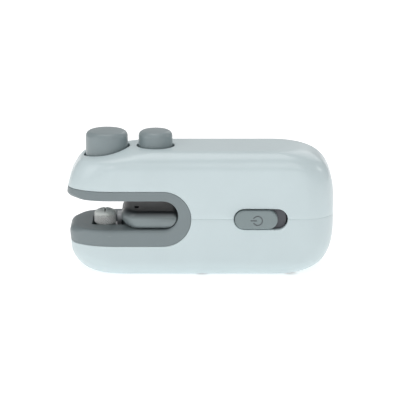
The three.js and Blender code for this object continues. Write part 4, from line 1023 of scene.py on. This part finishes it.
# %% Slide cap with its sign
FLANGE_BACK = FLANGE_FRONT + 0.8
SIGN_RADIUS, SIGN_LINE, SIGN_DEPTH, SIGN_BAR, SIGN_OPEN, BAR_CORNER = 2.05, 0.5, 0.3, 3.2, 28, 0.15
slide_box = Box("power_slide")
cap_rings = []
for out, up in directions(0, 90, 6):
    inset = CAP_EDGE * (1 - up)
    outline = stadium(CAP_X, SEAM, CAP_LENGTH - 2 * inset, CAP_HEIGHT - 2 * inset)
    cap_rings.append(at_y(outline, CAP_FRONT + CAP_EDGE * (1 - out)))
cap_rings.append(at_y(stadium(CAP_X, SEAM, CAP_LENGTH, CAP_HEIGHT), FLANGE_FRONT))
for y in (FLANGE_FRONT, FLANGE_BACK):
    cap_rings.append(at_y(stadium(CAP_X, SEAM, slide_box.wide, slide_box.tall), y))
sign, half_line = (SIGN_X, SIGN_Z), SIGN_LINE / 2
sign_ring = arc(sign, SIGN_RADIUS + half_line, 180 + SIGN_OPEN, 540 - SIGN_OPEN, 48)
sign_ring += arc(sign, SIGN_RADIUS - half_line, 540 - SIGN_OPEN, 180 + SIGN_OPEN, 48)
bar_low, bar_high = (SIGN_X - SIGN_BAR, SIGN_Z - half_line), (SIGN_X - GAP, SIGN_Z + half_line)
cap = loft("thumb_slide", cap_rings)
for outline in (sign_ring, rounded_outline(bar_low, bar_high, BAR_CORNER, 4)):
    cut(cap, slab("sign", outline, CAP_FRONT - PAST, CAP_FRONT + SIGN_DEPTH))
finished(cap, "power_slide", "switch_grey", "power_slide")

# %% [markdown]
# ## The arm shroud
# The needle arm wears a smooth grey pebble, soft on every edge and rounder at its free end.
# A stack of rounded outlines along the depth makes it, each drawn in like the slices of a loaf.
# A small square hole in its top takes the moulding's catch.

# %% Arm shroud
SHROUD_LOW, SHROUD_HIGH, SHROUD_RIGHT = 4, 3.9, 2.6
SHROUD_UNDER_ROUND, SHROUD_TOP_ROUND = 2.6, 2.2
PLAN_REACH, PLAN_DEPTH = 8, 11
END_GAP, HOLE_CORNER, SLICE_MARGIN, BEAM_TOP = 0.4, 0.2, 0.01, THROAT_FLOOR + 7.1


def loaf_slice(y, steps=10):
    """One outline of the shroud at a depth, drawn in near the front and back."""
    near = min(y - shroud_box.front, shroud_box.back - y)
    under, over = (r - quarter(r, max(0, 1 - near / r)) for r in (SHROUD_UNDER_ROUND, SHROUD_TOP_ROUND))
    left = shroud_box.left + PLAN_REACH - quarter(PLAN_REACH, max(0, 1 - near / PLAN_DEPTH))
    right, low, high = shroud_box.right, shroud_box.bottom + under, shroud_box.top - over
    limit = (high - low) / 2 - SLICE_MARGIN
    lower, upper, end = (min(limit, corner) for corner in (SHROUD_LOW, SHROUD_HIGH, SHROUD_RIGHT))
    points = arc((right - end, low + end), end, -90, 0, steps)
    points += arc((right - end, high - end), end, 0, 90, steps)
    points += arc((left + upper, high - upper), upper, 90, 180, steps)
    points += arc((left + lower, low + lower), lower, 180, 270, steps)
    return at_y(points, y)


depths = set(fall(SHROUD_TOP_ROUND, range(0, 91, 15)))
depths |= set(fall(SHROUD_UNDER_ROUND, range(18, 91, 9)))
depths = sorted(depths | set(fall(PLAN_DEPTH, range(54, 91, 6))))
slices = [shroud_box.front + d for d in depths] + [shroud_box.back - d for d in reversed(depths)]
pebble = loft("arm_pebble", [loaf_slice(y) for y in slices], SHARP_FORM)
hole_low = (HOLE_X - HOLE_SIZE / 2, HOLE_FRONT)
hole_high = (HOLE_X + HOLE_SIZE / 2, HOLE_FRONT + HOLE_LENGTH)
hole = rounded_outline(hole_low, hole_high, HOLE_CORNER)
beam = rectangle(NOSE_X, 0, arm_box.right, BEAM_TOP)
throat_room = [(NOSE_X, 0), (THROAT_END, 0)]
throat_room += arc((THROAT_END, THROAT_MIDDLE), THROAT_RADIUS - END_GAP, -90, 90, 40)
throat_room += [(THROAT_END, HEIGHT), (NOSE_X, HEIGHT)]
common(pebble, slab("throat_room", throat_room, FRONT_Y, BACK_Y))
cut(
    pebble,
    column("catch_hole", hole, shroud_box.top - HOLE_DEPTH, shroud_box.top + PAST),
    slab("beam_room", beam, MIDDLE_Y - ARM_HALF - GAP, MIDDLE_Y + ARM_HALF + GAP),
)
finished(pebble, "needle_arm", "grip_grey", "arm_shroud", finish=shroud_finish)

# %% [markdown]
# ## Patterns that repeat
# A knurl, a field of grip studs or a set of like screws is one small shape set down many times.
# A Geometry Nodes group says that rule once, with its counts and sizes as named inputs.
# The group is run once, its copies are made real, and the plain mesh is kept.

# %% The pattern class
KINDS = {int: "Int", bpy.types.Object: "Object"}


class Pattern(Nodes):
    """A Geometry Nodes group under construction, whose named inputs become its own values."""

    def __init__(self, name, **inputs):
        self.tree = bpy.data.node_groups.new(name, "GeometryNodeTree")
        self.tree.interface.new_socket("Geometry", in_out="OUTPUT", socket_type="NodeSocketGeometry")
        self.start = self.tree.nodes.new("NodeGroupInput")
        self.end = self.tree.nodes.new("NodeGroupOutput")
        self.given = {}
        for key, value in inputs.items():
            title, kind = key.replace("_", " ").title(), "NodeSocket" + KINDS.get(type(value), "Float")
            socket = self.tree.interface.new_socket(title, in_out="INPUT", socket_type=kind)
            self.given[socket.identifier] = value
            setattr(self, key, Value(self, self.start.outputs[title]))

    def point(self, x, y, z):
        return self.node("ShaderNodeCombineXYZ", {"X": x, "Y": y, "Z": z})

    def grid_index(self, across):
        """The column and row of each copy, counted across first."""
        index = self.node("GeometryNodeInputIndex")
        row = self.maths("FLOOR", index / across)
        return index - row * across, row

    def set_down(self, count, places, shape, turn=(0, 0, 0)):
        """A count of copies of a shape at their places."""
        line = self.node("GeometryNodeMeshLine", {"Count": count})
        moved = self.node("GeometryNodeSetPosition", {"Geometry": line, "Position": places})
        inputs = {"Points": moved, "Instance": shape, "Rotation": turn}
        return self.node("GeometryNodeInstanceOnPoints", inputs)

    def run(self, name, shape):
        """Makes the copies real and keeps the mesh."""
        real = self.node("GeometryNodeRealizeInstances", {"Geometry": shape})
        self.tree.links.new(real.socket, self.end.inputs[0])
        piece = add(name, bpy.data.meshes.new(name))
        step = piece.modifiers.new("pattern", "NODES")
        step.node_group = self.tree
        for identifier, value in self.given.items():
            step[identifier] = value
        return bake_modifiers(piece)


# %% [markdown]
# ## The clamp nut
# The nut is a turned cup with a rounded shoulder.
# Its grip is a diamond knurl, as a pair of cutting wheels leaves it: rows of small four-sided points,
# every second row shifted by half a point.
# In its mouth stands the collet's dome, with the slit that closes on the needle.

# %% Nut, knurl and collet
NUT_WEB, NUT_MOUTH, NUT_SLOT_DEPTH, NUT_FOOT, NUT_LIP = 0.9, 2.2, 1.1, 0.3, 0.08
DOME_START, DOME_MARGIN, DOME_STEP, DOME_FOOT = 1.6, 0.05, 0.2, 0.06
COLLET_RADIUS, COLLET_DOME, COLLET_SLIT, COLLET_SLIT_DEPTH, NEEDLE_BORE = 2.6, 1.95, 0.5, 3, 0.75
KNURL_AROUND, KNURL_TOP, KNURL_SINK = 24, 0.42, 0.02
dome_radius, dome_base = NUT_RADIUS - DOME_MARGIN, nut_box.top - DOME_START
mouth = COLLET_RADIUS + GAP
web = nut_box.top - NUT_WEB


def dome_at(radius):
    """Height of the dome that the nut and the collet share."""
    return dome_base + quarter(collet_box.top - dome_base, radius / dome_radius)


def dome_slot(name, depth):
    """A narrow upright cut across the dome, from front to back."""
    low, high = collet_box.top - depth, collet_box.top + PAST
    outline = rectangle(NEEDLE_X - COLLET_SLIT / 2, low, NEEDLE_X + COLLET_SLIT / 2, high)
    return slab(name, outline, MIDDLE_Y - NUT_RADIUS - PAST, MIDDLE_Y + NUT_RADIUS + PAST)


dome_rings = [radius for radius, _ in arc((0, 0), dome_radius, 0, 60, 10)]
nut_profile = [(mouth, nut_box.bottom), (NUT_CORE - NUT_FOOT, nut_box.bottom)]
nut_profile += [(NUT_CORE, nut_box.bottom + NUT_FOOT), (NUT_CORE, dome_base - DOME_STEP)]
nut_profile += [(dome_radius, dome_base - DOME_FOOT)] + [(radius, dome_at(radius)) for radius in dome_rings]
nut_profile += [(NUT_MOUTH + NUT_LIP, dome_at(NUT_MOUTH)), (NUT_MOUTH, dome_at(NUT_MOUTH) - NUT_LIP)]
nut_profile += [(NUT_MOUTH, web), (mouth, web)]
nut = turned("knurled_nut", NEEDLE_X, MIDDLE_Y, nut_profile)
cut(nut, dome_slot("nut_slot", NUT_SLOT_DEPTH))
finished(nut, "clamp_nut", "nickel", "clamp_nut")

knurl_low, knurl_high = nut_box.bottom + NUT_FOOT, dome_base - DOME_STEP
knurl_radius = NUT_CORE - KNURL_SINK
half_pitch = math.pi * knurl_radius / KNURL_AROUND
knurl = Pattern(
    "nut_knurl",
    points_around=KNURL_AROUND,
    rows=int((knurl_high - knurl_low) / half_pitch),
    radius=knurl_radius * MM,
    lowest_row=(knurl_low + half_pitch) * MM,
    row_spacing=half_pitch * MM,
    point_size=half_pitch * MM,
    point_height=KNURL_HEIGHT * MM,
)
column_index, row = knurl.grid_index(knurl.points_around)
angle = (column_index + knurl.maths("MODULO", row, 2.0) * 0.5) / knurl.points_around * (2 * math.pi)
place = knurl.point(
    knurl.radius * knurl.maths("COSINE", angle) + NEEDLE_X * MM,
    knurl.radius * knurl.maths("SINE", angle) + MIDDLE_Y * MM,
    knurl.lowest_row + row * knurl.row_spacing,
)
size = knurl.point_size
cone = {"Vertices": 4, "Radius Top": size * KNURL_TOP, "Radius Bottom": size, "Depth": knurl.point_height}
tooth = {"Geometry": knurl.node("GeometryNodeMeshCone", cone), "Shade Smooth": False}
flat = knurl.node("GeometryNodeSetShadeSmooth", tooth)
turn = knurl.point(0.0, math.pi / 2, angle)
teeth = knurl.set_down(knurl.points_around * knurl.rows, place, flat, turn)
finished(knurl.run("nut_knurl", teeth), "clamp_nut", "nickel", finish=knurl_finish)

shoulder, bore_end = web - GAP, collet_box.top - COLLET_SLIT_DEPTH
collet_profile = [(0, bore_end), (NEEDLE_BORE, bore_end), (NEEDLE_BORE, collet_box.bottom)]
collet_profile += [(COLLET_RADIUS, collet_box.bottom), (COLLET_RADIUS, shoulder), (COLLET_DOME, shoulder)]
collet_profile += [(COLLET_DOME * share, dome_at(COLLET_DOME * share)) for share in (1, 0.8, 0.55, 0.3, 0)]
collet = turned("slit_collet", NEEDLE_X, MIDDLE_Y, collet_profile, 64)
cut(collet, dome_slot("collet_slit", COLLET_SLIT_DEPTH))
finished(collet, "needle_arm", "nickel", "needle_collet")

# %% [markdown]
# ## Button springs
# A coil spring stands round each button's stem and pushes the cap up.
# Its wire follows a helix, and it shortens as its button goes down.

# %% Coil springs
SPRING_TURNS, SPRING_WIRE, SPRING_SLACK = 9.0, 0.3, 0.05
SPRING_STEPS, WIRE_STEPS = 28, 10


def coil(name, node):
    """A wire wound on a helix in place of the frame's spring."""
    box = Box(node)
    x, y, low = box.x, box.y, box.low
    made = Pattern(
        name,
        turns=SPRING_TURNS,
        middle_radius=(box.wide / 2 - SPRING_WIRE) * MM,
        height=(box.tall - 2 * SPRING_WIRE) * MM,
        wire_radius=SPRING_WIRE * MM,
    )
    helix = {"Resolution": SPRING_STEPS, "Rotations": made.turns, "Height": made.height}
    helix |= {"Start Radius": made.middle_radius, "End Radius": made.middle_radius}
    circle = {"Resolution": WIRE_STEPS, "Radius": made.wire_radius}
    sweep = {
        "Curve": made.node("GeometryNodeCurveSpiral", helix),
        "Profile Curve": made.node("GeometryNodeCurvePrimitiveCircle", circle),
        "Fill Caps": True,
    }
    foot = made.point(x * MM, y * MM, (box.bottom + SPRING_WIRE) * MM)
    wound = {"Geometry": made.node("GeometryNodeCurveToMesh", sweep), "Translation": foot}
    piece = made.run(name, made.node("GeometryNodeTransform", wound))
    finished(piece, "housing", "spring_steel", node)
    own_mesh(piece)


coil("large_coil", "large_button_spring")
coil("small_coil", "small_button_spring")

# %% [markdown]
# ## Screws and mat under the casing
# Four like screws hold the halves together from below, so one screw is made and set down four times.
# Its cross recess is two crossed notches that narrow towards their floor.
# The soft mat carries a field of tiny studs that grip the table.

# %% Case screws and base mat
SHANK_RADIUS, SHANK_POINT = 1.1, 1.1
RECESS_REACH, RECESS_WIDTH, RECESS_DEPTH, RECESS_FLOOR, RECESS_PAST = 1.25, 0.5, 0.9, 0.3, 0.1
HEAD_RIM = ((0.6, 0), (0.2, 0.14), (0, 0.5), (0, HEAD_HEIGHT))
TURN_BETWEEN = 0.6
STUD_RADIUS, STUD_TALL, STUD_STEP, STUD_LIFT, STUD_SINK = 0.45, 0.18, 1.5, 0.01, 0.02
STUD_TAPER, STUD_MARGIN, MAT_EDGE = 0.7, 3, 0.15
head = screws["case_screw_1"]
screw_profile = [(0, head.bottom)] + [(head.wide / 2 - inset, head.bottom + up) for inset, up in HEAD_RIM]
screw_profile += [(SHANK_RADIUS, head.bottom + HEAD_HEIGHT), (SHANK_RADIUS, head.top - SHANK_POINT)]
screw_profile.append((0, head.top))
screw = turned("one_screw", 0, 0, screw_profile, 40)
recess = [(-RECESS_REACH, head.bottom - RECESS_PAST), (RECESS_REACH, head.bottom - RECESS_PAST)]
recess += [(RECESS_FLOOR, head.bottom + RECESS_DEPTH), (-RECESS_FLOOR, head.bottom + RECESS_DEPTH)]
for quarter_turns in (0, 1):
    notch = slab("notch", recess, -RECESS_WIDTH / 2, RECESS_WIDTH / 2)
    notch.data.transform(Matrix.Rotation(quarter_turns * math.pi / 2, 4, "Z"))
    cut(screw, notch)

places_x, places_y = [box.x for box in screws.values()], [box.y for box in screws.values()]
spread = Pattern(
    "screw_set",
    screw=screw,
    left=min(places_x) * MM,
    step_along=(max(places_x) - min(places_x)) * MM,
    front=min(places_y) * MM,
    step_back=(max(places_y) - min(places_y)) * MM,
    turn_between_heads=TURN_BETWEEN,
)
back, along = spread.grid_index(2)
place = spread.point(spread.left + along * spread.step_along, spread.front + back * spread.step_back, 0.0)
shape = spread.node("GeometryNodeObjectInfo", {"Object": spread.screw}, "Geometry")
turns = spread.point(0.0, 0.0, (along * 2.0 + back) * spread.turn_between_heads)
fastened = spread.run("case_screws", spread.set_down(4, place, shape, turns))
bpy.data.objects.remove(screw)
finished(fastened, "housing", "plated_steel", *screws)

mat_foot = mat_box.bottom + STUD_TALL
mat_levels = ((-MAT_EDGE, mat_foot), (0, mat_foot + MAT_EDGE), (0, mat_box.top))
mat = loft("grip_mat", [at_z(mat_outline(grow), z) for grow, z in mat_levels])
finished(mat, "housing", "grip_grey", "base_mat")

wide, deep = (int((side - STUD_MARGIN) / STUD_STEP) for side in (mat_box.wide, mat_box.deep))
studs = Pattern(
    "mat_studs",
    studs_across=wide + 1,
    studs_deep=deep + 1,
    stud_spacing=STUD_STEP * MM,
    stud_radius=STUD_RADIUS * MM,
    stud_height=(STUD_TALL + STUD_SINK) * MM,
)
column_index, row = studs.grid_index(studs.studs_across)
first_x, first_y = (mat_box.x - wide * STUD_STEP / 2) * MM, (mat_box.y - deep * STUD_STEP / 2) * MM
x, y = column_index * studs.stud_spacing + first_x, row * studs.stud_spacing + first_y
place = studs.point(x, y, (mat_box.bottom + STUD_LIFT) * MM)
cone = {"Vertices": 16, "Radius Top": studs.stud_radius, "Depth": studs.stud_height}
cone["Radius Bottom"] = studs.stud_radius * STUD_TAPER
stud = studs.node("GeometryNodeMeshCone", cone)
field = studs.set_down(studs.studs_across * studs.studs_deep, place, stud)
finished(studs.run("mat_stud_field", field), "housing", "grip_grey")

# %% [markdown]
# ## Finishes for everything else
# The inner parts keep the frame's own meshes.
# Each takes the finish of the material slot that its record names, so no part is left in a flat colour.

# %% Finish the remaining nodes
painted = []
for part in frame["record"]["subparts"]:
    body = nodes[part["node"]]
    if body.hide_render:
        continue
    body.data.materials.clear()
    body.data.materials.append(finishes[part["material_slot"]])
    painted.append(part["node"])
print("painted", len(painted), "nodes:", ", ".join(painted))

# %% [markdown]
# ## Floor and its finish
# The floor is wide and nearly white, so that the object seems to stand on paper.

# %% Floor
FLOOR_HALF, FLOOR_GLOW = 6.0, 0.45
paper = Finish("floor_paper")
fibre = paper.noise(1.5, 3)
floor_mesh = bpy.data.meshes.new("studio_floor")
floor_corners = at_z(rectangle(-FLOOR_HALF, -FLOOR_HALF, FLOOR_HALF, FLOOR_HALF), 0)
floor_mesh.from_pydata(floor_corners, [], [(0, 1, 2, 3)])
floor_mesh.materials.append(paper.done({
    "Base Color": paper.blend(fibre, (250, 250, 250), (247, 247, 247)),
    "Roughness": 0.8 + fibre * 0.1,
    "Emission Color": srgb(255, 255, 255),
    "Emission Strength": FLOOR_GLOW,
}))
sheet = add("studio_floor", floor_mesh)
